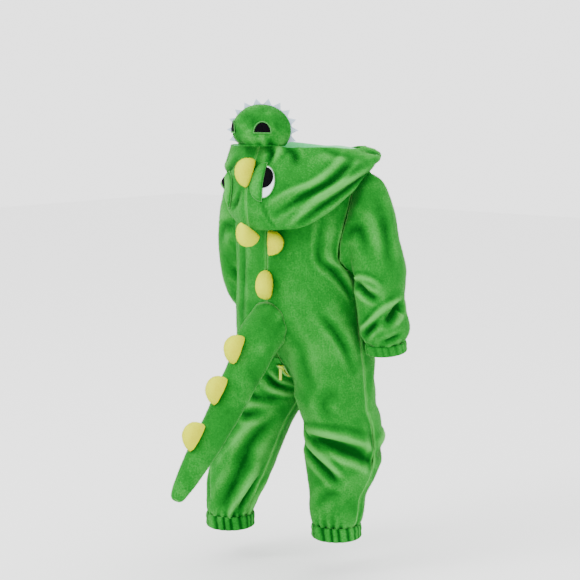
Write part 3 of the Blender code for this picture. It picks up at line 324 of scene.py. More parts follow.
def plush_finish(name, deep, middle, light, sheen):
    """Short pile with a pale sheen and random patches of tone, darkened by painted shade in its folds and lightened
    by a painted highlight on its crests.
    """
    made = bpy.data.materials.new(name)
    made.use_nodes = True
    nodes = made.node_tree.nodes
    links = made.node_tree.links
    shader = nodes["Principled BSDF"]
    shader.inputs["Roughness"].default_value = 0.86
    shader.inputs["Specular IOR Level"].default_value = 0.03
    shader.inputs["Sheen Weight"].default_value = 0.45
    shader.inputs["Sheen Roughness"].default_value = 0.30
    shader.inputs["Sheen Tint"].default_value = sheen
    place = nodes.new("ShaderNodeTexCoord")
    # Painted shade and highlight stored on the points: darker in folds, lighter on crests, seams and rims.
    fold = nodes.new("ShaderNodeAttribute")
    fold.attribute_name = "painted_shading"
    patches = nodes.new("ShaderNodeTexNoise")
    patches.inputs["Scale"].default_value = 15.0
    patches.inputs["Detail"].default_value = 3.0
    patches.inputs["Distortion"].default_value = 0.6
    mottle = nodes.new("ShaderNodeTexNoise")
    mottle.inputs["Scale"].default_value = 420.0
    mottle.inputs["Detail"].default_value = 2.0
    fibre = nodes.new("ShaderNodeTexNoise")
    fibre.inputs["Scale"].default_value = 1500.0
    fibre.inputs["Detail"].default_value = 2.0
    for texture in (patches, mottle, fibre):
        links.new(place.outputs["Object"], texture.inputs["Vector"])
    mixed = nodes.new("ShaderNodeMath")
    mixed.operation = "MULTIPLY_ADD"
    mixed.inputs[1].default_value = 0.42
    links.new(patches.outputs["Fac"], mixed.inputs[0])
    links.new(fold.outputs["Fac"], mixed.inputs[2])
    speckled = nodes.new("ShaderNodeMath")
    speckled.operation = "MULTIPLY_ADD"
    speckled.inputs[1].default_value = 0.36
    links.new(mottle.outputs["Fac"], speckled.inputs[0])
    links.new(mixed.outputs[0], speckled.inputs[2])
    ramp = nodes.new("ShaderNodeValToRGB")
    ramp.color_ramp.elements[0].position = 0.06
    ramp.color_ramp.elements[0].color = deep
    ramp.color_ramp.elements[1].position = 0.74
    ramp.color_ramp.elements[1].color = light
    ramp.color_ramp.elements.new(0.38).color = middle
    links.new(speckled.outputs[0], ramp.inputs["Fac"])
    links.new(ramp.outputs["Color"], shader.inputs["Base Color"])
    bump = nodes.new("ShaderNodeBump")
    bump.inputs["Strength"].default_value = 0.5
    bump.inputs["Distance"].default_value = 0.0006
    links.new(fibre.outputs["Fac"], bump.inputs["Height"])
    links.new(bump.outputs["Normal"], shader.inputs["Normal"])
    return made


# deep is the colour under the darkest painted shade and light under the brightest painted highlight; random patches
# also move between them.
green_plush = plush_finish("green_pile", (0.001, 0.056, 0.004, 1.0), (0.006, 0.170, 0.014, 1.0),
                           (0.070, 0.360, 0.060, 1.0), (0.40, 1.0, 0.30, 1.0))
# Fold depth that gives the full painted shade, and the share of the colour's range that painted shade and highlight
# may move.
PAINTED_SHADING_DEPTH = 0.0045
PAINTED_SHADING_SHARE = 0.40
CALM_STEPS = 30


def painted_fold_shading(press):
    """Painted shade where a place lies deeper than the cloth beside it, and a painted highlight on a crest, as a
    share of the colour's range.
    """
    press = np.asarray(press, float)
    calm = press
    for _ in range(CALM_STEPS):
        beside = np.pad(calm, 1, mode="edge")
        calm = (beside[:-2, 1:-1] + beside[2:, 1:-1] + beside[1:-1, :-2] + beside[1:-1, 2:] + calm) / 5
    return np.clip((0.75 * calm - press) / PAINTED_SHADING_DEPTH, -1.0, 1.0) * PAINTED_SHADING_SHARE


def curve_rows(values, count):
    """Values along the first axis, read more finely on a smooth curve through all of them."""
    last = len(values) - 1
    place = np.linspace(0.0, last, last * count + 1)
    low = np.minimum(place.astype(int), last - 1)
    f = (place - low)[:, None, None]
    before, start, end, after = (values[np.clip(low + k, 0, last)] for k in (-1, 0, 1, 2))
    bend = 2 * before - 5 * start + 4 * end - after
    return start + 0.5 * f * (end - before + f * (bend + f * (3 * (start - end) + after - before)))


def panel_forms(side, behind):
    """The panel's places, directions out of the cloth, rows and shares, on its fine grid."""
    rows = [i / ROW_STEPS for i in range(last_row(side) * ROW_STEPS + 1)]
    shares = [j / PANEL_COLUMNS for j in range(PANEL_COLUMNS + 1)]
    places = np.array([[body_form(side, panel_place(r, s, behind), r) for s in shares] for r in rows])
    outs = np.array([[body_normal(side, panel_place(r, s, behind), r) for s in shares] for r in rows])
    if behind:
        places, outs = (curve_rows(curve_rows(grid, FINER).swapaxes(0, 1), FINER).swapaxes(0, 1)
                        for grid in (places, outs))
        outs = outs / np.linalg.norm(outs, axis=2, keepdims=True)
    return places, outs, np.linspace(0.0, rows[-1], len(places)), np.linspace(0.0, 1.0, places.shape[1])


def flutes(rows, shares, last, phase):
    """Flutes that the elastic draws up from the ankle, uneven in height."""
    turn = shares[None, :] * FLUTES * 2 * pi + phase + 0.7 * np.sin(shares[None, :] * 7.0 + phase)
    height = FLUTE_ROWS * (0.75 + 0.45 * np.sin(shares[None, :] * 11.0 + 2.0 * phase))
    rise = np.clip(1.0 - (last - rows[:, None]) / height, 0.0, 1.0) ** 1.5
    return FLUTE_DEPTH * rise * (1.0 + np.cos(turn))


def seam_share(places, *edges):
    """How near a place is to the seams along some edges, from 0 to 1."""
    return sum(np.exp(-(np.linalg.norm(places - edge, axis=2) / SEAM_REACH) ** 2) for edge in edges)


panels = {}
for name, side, behind in (("back_right", 1, True), ("back_left", -1, True),
                           ("front_right", 1, False), ("front_left", -1, False)):
    places, outs, rows, shares = panel_forms(side, behind)
    flat = places.reshape(-1, 3)
    own = [crease for crease in CREASES if crease.piece == name]
    creases = crease_depth(flat, own, lambda row, share: body_form(side, panel_place(row, share, behind), row))
    press = creases + soft_wave(flat, SOFT_WAVE, SOFT_SCALE)
    press = press.reshape(len(rows), len(shares))
    press = press + flutes(rows, shares, rows[-1], 0.5 * side + (0.0 if behind else 1.0))
    seams = seam_share(places, places[:, :1], places[:, -1:])
    outer = places - outs * (press + SEAM_PINCH * seams)[:, :, None]
    # Painted shade in the creases and flutes, painted highlight on the crests and along the seams.
    painted_shading = painted_fold_shading(press) + SEAM_PAINTED_HIGHLIGHT * seams
    piece = shell(name + "_cloth", outer, outer - outs * CLOTH, False, green_plush, painted_shading)
    panels[name] = (outer, outs, rows, shares, piece)
    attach(piece, "garment")
    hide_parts(name)

# Sleeves
# Each is one cut piece of the same plush, set into its armhole and bent at the elbow, where it breaks into folds.
Fan = namedtuple("Fan", "tilt across deep y")
Arm = namedtuple("Arm", "x y z bend wide deep")
UNDERARM = Vector((0.1085, 0.0, -0.1875))
UNDERARM_ROOM = 0.0045
RIGHT_FAN = [
    Fan(13, 0.156, 0.040, 0.000),
    Fan(27, 0.122, 0.041, 0.001),
    Fan(43, 0.092, 0.042, 0.002),
    Fan(60, 0.080, 0.043, 0.003),
    Fan(77, 0.075, 0.044, 0.005),
]
RIGHT_ARM = [
    Arm(0.1470, 0.006, -0.204, 0, 0.0360, 0.0440),
    Arm(0.1475, 0.008, -0.221, 4, 0.0345, 0.0420),
    Arm(0.1490, 0.010, -0.238, 6, 0.0350, 0.0415),
    Arm(0.1500, 0.013, -0.254, 8, 0.0370, 0.0425),
    Arm(0.1505, 0.016, -0.269, 8, 0.0375, 0.0415),
    Arm(0.1500, 0.018, -0.281, 8, 0.0335, 0.0360),
    Arm(0.1495, 0.019, -0.288, 8, 0.0295, 0.0305),
]
LEFT_FAN = [
    Fan(13, 0.158, 0.040, 0.003),
    Fan(27, 0.124, 0.042, 0.008),
    Fan(43, 0.097, 0.043, 0.014),
    Fan(60, 0.084, 0.044, 0.020),
    Fan(77, 0.078, 0.044, 0.026),
]
LEFT_ARM = [
    Arm(0.1495, 0.032, -0.203, 14, 0.0380, 0.0430),
    Arm(0.1505, 0.041, -0.221, 34, 0.0380, 0.0410),
    Arm(0.1510, 0.056, -0.235, 56, 0.0380, 0.0400),
    Arm(0.1510, 0.074, -0.242, 72, 0.0370, 0.0380),
    Arm(0.1485, 0.093, -0.246, 78, 0.0360, 0.0370),
    Arm(0.1455, 0.110, -0.249, 80, 0.0360, 0.0370),
    Arm(0.1430, 0.123, -0.251, 80, 0.0320, 0.0330),
    Arm(0.1420, 0.130, -0.252, 80, 0.0290, 0.0300),
]
SHOULDER_ROW = 2
UNDERARM_ROW = 9
ARM_MARGIN = 0.045
SLEEVE_MARGIN = 0.0045
UNDERARM_LIFT = 0.06   # rows
SLEEVE_HALF_COLUMNS = 14
RING_STEPS = 12
COLUMN_STEPS = 3
SLEEVE_FLUTES = 11
WRIST_DEPTH = 0.0013
# Creases here run through (ring, column) places; column 0 is the outer side and 7 the back.
SLEEVE_CREASES = [
    Crease("sleeve_right", -0.0046, 0.0044, ((5.1, 9.6), (5.0, 7.6), (5.3, 5.4), (5.7, 3.6))),
    Crease("sleeve_right", 0.0100, 0.0070, ((5.6, 10.0), (5.7, 8.0), (6.1, 6.0), (6.4, 4.2))),
    Crease("sleeve_right", -0.0050, 0.0046, ((9.2, 8.6), (8.5, 6.6), (7.7, 4.6), (7.0, 2.6), (6.6, 0.8))),
    Crease("sleeve_right", 0.0060, 0.0060, ((9.9, 8.4), (9.2, 6.6), (8.4, 4.8))),
    Crease("sleeve_right", 0.0130, 0.0085, ((8.4, 3.4), (7.9, 1.8), (7.5, 0.4), (7.4, 27.2))),
    Crease("sleeve_right", 0.0060, 0.0060, ((10.6, 4.4), (10.3, 2.6), (10.0, 1.0))),
    Crease("sleeve_right", 0.0034, 0.0085, ((0.5, 7.4), (1.6, 6.4), (2.8, 5.6))),
    Crease("sleeve_right", -0.0020, 0.0090, ((0.7, 4.8), (2.0, 4.0), (3.4, 3.4))),
    Crease("sleeve_right", 0.0030, 0.0100, ((1.5, 2.0), (3.0, 1.4), (4.4, 2.4))),
    Crease("sleeve_right", 0.0085, 0.0085, ((6.4, 19.0), (6.6, 21.5), (6.6, 24.0))),
    Crease("sleeve_right", 0.0050, 0.0090, ((8.6, 18.0), (8.9, 21.0), (8.6, 24.0))),
    Crease("sleeve_left", 0.0045, 0.0100, ((0.5, 7.4), (1.8, 6.6), (3.0, 6.0))),
    Crease("sleeve_left", 0.0070, 0.0085, ((6.6, 16.0), (6.9, 19.0), (6.9, 22.0))),
    Crease("sleeve_left", 0.0070, 0.0080, ((7.9, 15.0), (8.1, 18.5), (8.2, 22.5))),
    Crease("sleeve_left", 0.0042, 0.0090, ((5.4, 8.0), (6.2, 10.5), (7.2, 12.0))),
    Crease("sleeve_left", -0.0038, 0.0080, ((4.6, 9.0), (5.4, 11.5), (6.4, 13.4))),
    Crease("sleeve_left", 0.0036, 0.0090, ((9.4, 6.0), (10.0, 9.0), (10.6, 11.0))),
]


def armhole_point(side, behind, row):
    """Point just beyond a panel's edge at one of its rows, and the direction out of the cloth there."""
    across = min(reach(row, behind) + SLEEVE_MARGIN, 1.0)
    across = across if behind else 2.0 - across
    row = row - UNDERARM_LIFT if row > UNDERARM_ROW - 2 else row
    return body_form(side, across, row), body_normal(side, across, row)


def armhole_ring(side):
    """Points round the armhole just inside the panels' edges, from the shoulder down the back and up."""
    count = SLEEVE_HALF_COLUMNS
    ring = []
    for k in range(2 * count):
        behind = k <= count
        share = k / count if behind else (2 * count - k) / count
        row = mix(SHOULDER_ROW, UNDERARM_ROW, share)
        row = min(max(row, SHOULDER_ROW + ARM_MARGIN), UNDERARM_ROW - ARM_MARGIN)
        low = int(row)
        start, start_out = armhole_point(side, behind, low)
        end, end_out = armhole_point(side, behind, low + 1)
        ring.append((mix(start, end, row - low), mix(start_out, end_out, row - low).normalized()))
    return ring


def arm_ring(side, centre, tilt, bend, wide, deep):
    """One ring of a sleeve, from its outer side round the back."""
    outward = Vector((sin(tilt), 0, cos(tilt)))
    down = Vector((cos(tilt), 0, -sin(tilt)))
    back = Vector((0, -1, 0)) * cos(bend) + down * sin(bend)
    points = []
    for k in range(2 * SLEEVE_HALF_COLUMNS):
        angle = pi * k / SLEEVE_HALF_COLUMNS
        p = centre + outward * wide * cos(angle) + back * deep * sin(angle)
        points.append(Vector((side * p.x, p.y, p.z)))
    return points


def sleeve_rings(side, fans, arms, inset):
    """All the rings below the armhole, drawn in by the wall's thickness where asked."""
    rings = []
    for fan in fans:
        tilt = radians(fan.tilt)
        spoke = Vector((sin(tilt), 0, cos(tilt)))
        centre = UNDERARM + spoke * (UNDERARM_ROOM + fan.across / 2) + Vector((0, fan.y, 0))
        rings.append(arm_ring(side, centre, tilt, 0.0, fan.across / 2 - inset, fan.deep - inset))
    for arm in arms:
        centre = Vector((arm.x, arm.y, arm.z))
        rings.append(arm_ring(side, centre, pi / 2, radians(arm.bend), arm.wide - inset, arm.deep - inset))
    return rings


def round_columns(values, count):
    """The same round a closed ring, along the second axis."""
    total = values.shape[1]
    place = np.arange(total * count) / count
    low = place.astype(int)
    f = (place - low)[None, :, None]
    before, start, end, after = (values[:, (low + k) % total] for k in (-1, 0, 1, 2))
    bend = 2 * before - 5 * start + 4 * end - after
    return start + 0.5 * f * (end - before + f * (bend + f * (3 * (start - end) + after - before)))


def ring_outs(grid, side):
    """Directions out of a tube's wall at every place of its grid."""
    round_way = np.roll(grid, -1, axis=1) - np.roll(grid, 1, axis=1)
    down = np.gradient(grid, axis=0)
    outs = np.cross(down, round_way) * side
    return outs / np.linalg.norm(outs, axis=2, keepdims=True)


for name, side, fans, arms in (("sleeve_right", 1, RIGHT_FAN, RIGHT_ARM), ("sleeve_left", -1, LEFT_FAN, LEFT_ARM)):
    rings = [[p for p, n in armhole_ring(side)]] + sleeve_rings(side, fans, arms, 0.0)
    grid = round_columns(curve_rows(np.array(rings), RING_STEPS), COLUMN_STEPS)
    outs = ring_outs(grid, side)
    middle = grid.mean(axis=1, keepdims=True)
    outs = outs * np.sign((outs * (grid - middle)).sum(axis=2).mean())
    flat = grid.reshape(-1, 3)
    columns = grid.shape[1]

    def locate(ring, column, grid=grid, columns=columns):
        return grid[min(int(round(ring * RING_STEPS)), len(grid) - 1), int(round(column * COLUMN_STEPS)) % columns]

    press = crease_depth(flat, [c for c in SLEEVE_CREASES if c.piece == name], locate)
    press = (press + soft_wave(flat, SOFT_WAVE, SOFT_SCALE)).reshape(grid.shape[:2])
    turn = np.arange(columns) / columns * 2 * pi
    height = 0.020 * (1.0 + 0.4 * np.sin(3 * turn))
    rise = np.clip(1.0 - np.linalg.norm(grid - grid[-1:], axis=2) / height[None, :], 0.0, 1.0) ** 1.4
    press = press + WRIST_DEPTH * rise * (1.0 + np.cos(SLEEVE_FLUTES * turn + np.sin(2 * turn)))[None, :]
    seam = seam_share(grid, grid[:1])
    outer = grid - outs * (press + SEAM_PINCH * seam)[:, :, None]
    # Painted shade in the creases and wrist flutes, painted highlight on the crests and along the armhole seam.
    painted_shading = painted_fold_shading(press) + SEAM_PAINTED_HIGHLIGHT * seam
    piece = shell(name + "_cloth", outer, outer - outs * CLOTH, True, green_plush, painted_shading)
    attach(piece, "garment")
    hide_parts(name)


# Cuffs
# Turned-up casings round elastic at both ankles and both wrists, drawn into even small gathers.
CUFF_GATHERS = 18
CUFF_SWELL = 0.0045
LEG_CUFF_HEIGHT = 0.020
ARM_CUFF_HEIGHT = 0.015
CUFF_COLUMNS = 18 * 10
LEG_WAVE = 0.34          # depth of the gathers at the ankles and at the wrists, as a share of the swell
ARM_WAVE = 0.13
# (out, down) places round the casing's section, out as a share of its swell and down as a share of its height
CUFF_SECTION = ((0.45, 0.0), (0.60, -0.14), (0.95, -0.15), (1.20, 0.02), (1.30, 0.26), (1.12, 0.44),
                (1.18, 0.60), (1.25, 0.78), (1.00, 0.93), (0.55, 0.99), (0.12, 0.96), (0.0, 0.80), (0.0, 0.08))


def cuff(name, centre, down, across, radius, height, depth):
    """One gathered casing, its section carried round the opening."""
    side_way = down.cross(across)
    rows = []
    painted_shading = []
    for out, along in CUFF_SECTION:
        ring = []
        painted_tone = []
        for k in range(CUFF_COLUMNS):
            angle = 2 * pi * k / CUFF_COLUMNS
            phase = CUFF_GATHERS * angle + 2.0 * sin(2 * angle) + 1.3 * sin(5 * angle + 1.0) + 1.2 * along
            wave = 1.0 - 2.0 * ((1.0 - cos(phase)) / 2) ** 3
            uneven = 0.55 + 0.45 * sin(3 * angle + radius * 700)
            swell = CUFF_SWELL * out * (1.0 + depth * wave * uneven)
            # Painted shade in the valleys between the gathers and on the casing's turned-in faces.
            painted_tone.append(0.6 * depth * (wave - 1.0) if out > 0.5 else -0.25)
            way = across * cos(angle) + side_way * sin(angle)
            ring.append(centre + way * (radius + swell) + down * (height * along))
        rows.append(ring)
        painted_shading.append(painted_tone)
    rows = [list(line) for line in zip(*rows)]
    painted_shading = [list(line) for line in zip(*painted_shading)]
    mesh = bpy.data.meshes.new(name)
    count = len(CUFF_SECTION)
    faces = []
    for i in range(CUFF_COLUMNS):
        for j in range(count):
            a, b = i * count, ((i + 1) % CUFF_COLUMNS) * count
            k = (j + 1) % count
            faces.append((a + j, b + j, b + k, a + k))
    mesh.from_pydata([tuple(p) for line in rows for p in line], [], faces)
    mesh.attributes.new("painted_shading", "FLOAT", "POINT").data.foreach_set("value", [t for line in painted_shading for t in line])
    return finished(name, mesh, green_plush)


for name, side, end, height, depth in (("leg_cuff_right", 1, RIGHT_LEG[-1], LEG_CUFF_HEIGHT, LEG_WAVE),
                                       ("leg_cuff_left", -1, LEFT_LEG[-1], LEG_CUFF_HEIGHT, LEG_WAVE),
                                       ("sleeve_cuff_right", 1, RIGHT_ARM[-1], ARM_CUFF_HEIGHT, ARM_WAVE),
                                       ("sleeve_cuff_left", -1, LEFT_ARM[-1], ARM_CUFF_HEIGHT, ARM_WAVE)):
    bend = radians(end.bend) if hasattr(end, "bend") else 0.0
    down = Vector((0, sin(bend), -cos(bend)))
    centre = Vector((side * end.x, end.y, end.z)) + down * GAP
    piece = cuff(name + "_casing", centre, down, Vector((1, 0, 0)), end.wide - CLOTH, height, depth)
    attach(piece, "garment")
    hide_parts(name)

# Hood
# Two plush halves joined over the head by a centre seam, thrown back into a deep pocket. Loose cloth on the
# right-hand side hangs in three long folds from the shoulder, and a short dart runs down from the eye.
Pocket = namedtuple("Pocket", "turn in_r in_z low_r low_z fold_r fold_z side_r side_z rim_r rim_z")
RIGHT_HOOD = [
    Pocket(0, 0.0925, -0.028, 0.101, -0.078, 0.130, -0.1075, 0.137, -0.050, 0.108, 0.0170),
    Pocket(20, 0.0935, -0.026, 0.103, -0.076, 0.132, -0.1080, 0.141, -0.050, 0.110, 0.0170),
    Pocket(40, 0.1010, -0.025, 0.112, -0.070, 0.136, -0.1000, 0.146, -0.044, 0.111, 0.0160),
    Pocket(60, 0.1050, -0.018, 0.122, -0.048, 0.140, -0.0720, 0.149, -0.030, 0.112, 0.0160),
    Pocket(80, 0.1000, 0.004, 0.124, -0.013, 0.138, -0.0330, 0.143, -0.014, 0.112, 0.0120),
    Pocket(98, 0.0920, 0.007, 0.118, 0.000, 0.132, -0.0065, 0.136, 0.004, 0.108, 0.0150),
    Pocket(118, 0.0850, 0.004, 0.104, -0.004, 0.116, -0.0090, 0.119, 0.003, 0.092, 0.0140),
    Pocket(142, 0.0780, -0.008, 0.088, -0.018, 0.097, -0.0200, 0.099, -0.006, 0.074, 0.0110),
    Pocket(168, 0.0660, -0.010, 0.071, -0.020, 0.076, -0.0230, 0.078, -0.014, 0.064, 0.0060),
]
LEFT_HOOD = [
    Pocket(0, 0.0925, -0.028, 0.101, -0.078, 0.130, -0.1075, 0.137, -0.050, 0.108, 0.0170),
    Pocket(20, 0.0935, -0.026, 0.103, -0.072, 0.123, -0.1000, 0.130, -0.046, 0.111, 0.0160),
    Pocket(40, 0.1010, -0.025, 0.108, -0.062, 0.119, -0.0860, 0.126, -0.038, 0.114, 0.0150),
    Pocket(60, 0.1050, -0.018, 0.112, -0.042, 0.121, -0.0600, 0.127, -0.024, 0.116, 0.0150),
    Pocket(80, 0.1000, 0.004, 0.114, -0.010, 0.126, -0.0240, 0.131, -0.004, 0.112, 0.0150),
    Pocket(98, 0.0920, 0.007, 0.114, 0.000, 0.128, -0.0060, 0.133, 0.006, 0.107, 0.0150),
    Pocket(118, 0.0850, 0.004, 0.104, -0.004, 0.118, -0.0080, 0.121, 0.006, 0.092, 0.0140),
    Pocket(142, 0.0780, -0.008, 0.088, -0.018, 0.097, -0.0200, 0.099, -0.006, 0.074, 0.0110),
    Pocket(168, 0.0660, -0.010, 0.071, -0.020, 0.076, -0.0230, 0.078, -0.014, 0.064, 0.0060),
]
NECK_STAND = 0.010      # height that the hood stands before it turns over
NECK_SEAM_RADIUS = 0.0565
NECK_SEAM_LIFT = 0.0014
PLACE_STEPS = 14
ALONG_STEPS = 16
HOOD_WAVE = 0.0015
# Creases here run through (place round the neck, place from the neck seam to the face edge).
HOOD_CREASES = [
    Crease("hood_right", -0.0036, 0.0052, ((0.85, 4.72), (1.5, 4.98), (2.3, 5.12), (3.0, 5.42), (3.5, 5.80))),
    Crease("hood_right", 0.0062, 0.0060, ((1.1, 4.52), (1.9, 4.80), (2.7, 4.98), (3.3, 5.28), (3.7, 5.50))),
    Crease("hood_right", -0.0040, 0.0052, ((1.5, 4.20), (2.15, 4.62), (2.9, 4.80), (3.6, 4.84), (4.4, 4.70))),
    Crease("hood_right", 0.0058, 0.0058, ((1.9, 4.22), (2.6, 4.44), (3.4, 4.52), (4.2, 4.30))),
    Crease("hood_right", 0.0022, 0.0030, ((0.62, 4.86), (0.80, 4.50), (1.05, 4.12))),
    Crease("hood_right", 0.0045, 0.0060, ((0.55, 5.98), (0.72, 5.78), (0.66, 5.55))),
    Crease("hood_right", -0.0035, 0.0060, ((0.95, 6.0), (1.05, 5.84), (0.95, 5.66))),
    Crease("hood_right", 0.0040, 0.0070, ((1.3, 6.0), (1.6, 5.80), (1.7, 5.60))),
    Crease("hood_right", 0.0035, 0.0090, ((2.6, 5.95), (3.2, 5.75), (4.0, 5.50))),
    Crease("hood_right", 0.0060, 0.0090, ((4.6, 5.7), (5.2, 5.0), (5.6, 4.3))),
    Crease("hood_right", 0.0045, 0.0080, ((5.8, 5.6), (6.2, 4.9), (6.5, 4.3))),
    Crease("hood_left", 0.0045, 0.0055, ((0.95, 4.52), (0.62, 4.68), (0.34, 5.00))),
    Crease("hood_left", 0.0060, 0.0085, ((1.0, 5.6), (1.9, 5.2), (2.9, 4.9), (3.8, 4.9))),
    Crease("hood_left", -0.0040, 0.0085, ((1.1, 5.25), (2.0, 4.9), (3.0, 4.6), (3.9, 4.6))),
    Crease("hood_left", 0.0060, 0.0080, ((1.4, 4.5), (2.4, 4.4), (3.4, 4.4), (4.2, 4.3))),
    Crease("hood_left", 0.0050, 0.0085, ((4.6, 5.6), (5.3, 5.0), (5.7, 4.4))),
]


def hood_table(side):
    return RIGHT_HOOD if side > 0 else LEFT_HOOD


def neck_edge(turn):
    """Radius and height of the neckline in one direction round the neck."""
    front = turn > pi / 2
    middle = TORSO[0].z_front if front else TORSO[0].z_back
    height = mix(TORSO[0].z_side, middle, cos(turn) ** 2)
    return NECK_SEAM_RADIUS, height + NECK_SEAM_LIFT


def hood_profile(side, place):
    """Control points of the pocket's section, from the neck seam to the face edge, and its direction."""
    row = section(hood_table(side), place)
    turn = radians(row.turn)
    radius, height = neck_edge(turn)
    points = [
        (radius, height),
        (radius + 0.3 * NECK_STAND, height + NECK_STAND),
        (row.in_r, row.in_z),
        (row.low_r, row.low_z),
        (row.fold_r, row.fold_z),
        (row.side_r, row.side_z),
        (row.rim_r, row.rim_z),
    ]
    return points, turn


def hood_form(side, place, along):
    """Point on the hood's plush face, and the direction out of the pocket."""
    points, turn = hood_profile(side, place)
    radii = [p[0] for p in points]
    heights = [p[1] for p in points]
    step = 0.05
    low = max(along - step, 0.0)
    high = min(along + step, len(points) - 1.0)
    run = smooth_value(radii, high) - smooth_value(radii, low)
    rise = smooth_value(heights, high) - smooth_value(heights, low)
    length = sqrt(run * run + rise * rise)
    outward = Vector((side * sin(turn), -cos(turn), 0))
    point = outward * smooth_value(radii, along) + Vector((0, 0, smooth_value(heights, along)))
    return point, outward * (rise / length) + Vector((0, 0, -run / length))


def hood_cloth(name, side):
    """The half's creased plush face, the directions out of it and its painted shade and highlight, on its fine grid.
    """
    last = len(hood_table(side)) - 1
    forms = [[hood_form(side, i / PLACE_STEPS, j / ALONG_STEPS) for j in range(6 * ALONG_STEPS + 1)]
             for i in range(last * PLACE_STEPS + 1)]
    grid = np.array([[p for p, n in row] for row in forms])
    outs = np.array([[n for p, n in row] for row in forms])
    flat = grid.reshape(-1, 3)
    own = [c for c in HOOD_CREASES if c.piece == name]
    press = crease_depth(flat, own, lambda place, along: hood_form(side, place, along)[0])
    press = (press + soft_wave(flat, HOOD_WAVE, SOFT_SCALE)).reshape(grid.shape[:2])
    outside = np.clip((np.arange(grid.shape[1]) / ALONG_STEPS - 2.6) / 1.0, 0.0, 1.0)
    press = press * outside
    seam = seam_share(grid, grid[:1]) * outside
    outer = grid - outs * (press + SEAM_PINCH * seam)[:, :, None]
    outer[0, :, 0] = side * GAP / 2
    return outer, outs, painted_fold_shading(press) + SEAM_PAINTED_HIGHLIGHT * seam


hoods = {}
for name, side in (("hood_right", 1), ("hood_left", -1)):
    outer, outs, painted_shading = hood_cloth(name, side)
    hoods[side] = (outer, outs)
    inner = outer - outs * CLOTH
    inner[0, :, 0] = side * GAP / 2
    piece = shell(name + "_cloth", outer, inner, False, green_plush, painted_shading)
    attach(piece, "garment")
    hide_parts(name)


# Hood lining
# Brushed mint knit inside the pocket, sewn in at the neck and turned in at the face edge.
LINING = 0.0012
LINING_ROOM = 0.0008
LINING_LAST = 6 * PLACE_STEPS


def knit_finish(name, low, high, sheen=0.30):
    """Soft knit or felt with a fine grain."""
    made = bpy.data.materials.new(name)
    made.use_nodes = True
    nodes = made.node_tree.nodes
    links = made.node_tree.links
    shader = nodes["Principled BSDF"]
    shader.inputs["Roughness"].default_value = 0.9
    shader.inputs["Specular IOR Level"].default_value = 0.3 * sheen
    shader.inputs["Sheen Weight"].default_value = sheen
    place = nodes.new("ShaderNodeTexCoord")
    grain = nodes.new("ShaderNodeTexNoise")
    grain.inputs["Scale"].default_value = 700.0
    links.new(place.outputs["Object"], grain.inputs["Vector"])
    ramp = nodes.new("ShaderNodeValToRGB")
    ramp.color_ramp.elements[0].position = 0.3
    ramp.color_ramp.elements[0].color = low
    ramp.color_ramp.elements[1].position = 0.7
    ramp.color_ramp.elements[1].color = high
    links.new(grain.outputs["Fac"], ramp.inputs["Fac"])
    links.new(ramp.outputs["Color"], shader.inputs["Base Color"])
    bump = nodes.new("ShaderNodeBump")
    bump.inputs["Strength"].default_value = 0.35
    bump.inputs["Distance"].default_value = 0.0004
    links.new(grain.outputs["Fac"], bump.inputs["Height"])
    links.new(bump.outputs["Normal"], shader.inputs["Normal"])
    return made


mint_knit = knit_finish("mint_knit", (0.018, 0.36, 0.10, 1.0), (0.040, 0.52, 0.16, 1.0))
for name, first, last in (("hood_lining_neck", ALONG_STEPS // 2, 3 * ALONG_STEPS),
                          ("hood_lining_face", 9 * ALONG_STEPS // 2, 6 * ALONG_STEPS)):
    faces = []
    for depth in (CLOTH + LINING_ROOM, CLOTH + LINING_ROOM + LINING):
        halves = []
        for side in (-1, 1):
            outer, outs = hoods[side]
            halves.append((outer - outs * depth)[:LINING_LAST + 1, first:last + 1])
        joined = np.concatenate([halves[0][:0:-1], halves[1]])
        joined[LINING_LAST, :, 0] = 0.0
        faces.append(joined)
    piece = shell(name + "_knit", faces[0], faces[1], False, mint_knit)
    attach(piece, "garment")
    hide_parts(name)


# Muzzle
# A stuffed dome of plush over a flat mint underside, sewn to the middle of the face edge, with a row of felt
# teeth caught in its seam. The plush puckers where it is drawn down to the hood.
FELT = 0.0014
MUZZLE_RADIUS = 0.047
MUZZLE_CENTRE = Vector((0.0, -0.100, 0.0412))
MUZZLE_TURN = 20
MUZZLE_FLATTENED = 0.82   # height of the dome as a share of its width
MUZZLE_DEPTH = 0.040
MUZZLE_UNDER_DEPTH = 0.018
MUZZLE_DROP = 0.0290
PUCKER_DEPTH = 0.0024
PUCKERS = 9
PUCKER_RISE = 0.014


def muzzle_turn():
    """Place, turn and flattening of the muzzle on the hood's face edge."""
    turn = Matrix.Rotation(radians(MUZZLE_TURN), 4, "Z")
    return Matrix.Translation(MUZZLE_CENTRE) @ turn @ Matrix.Scale(MUZZLE_FLATTENED, 4, Vector((0, 0, 1)))


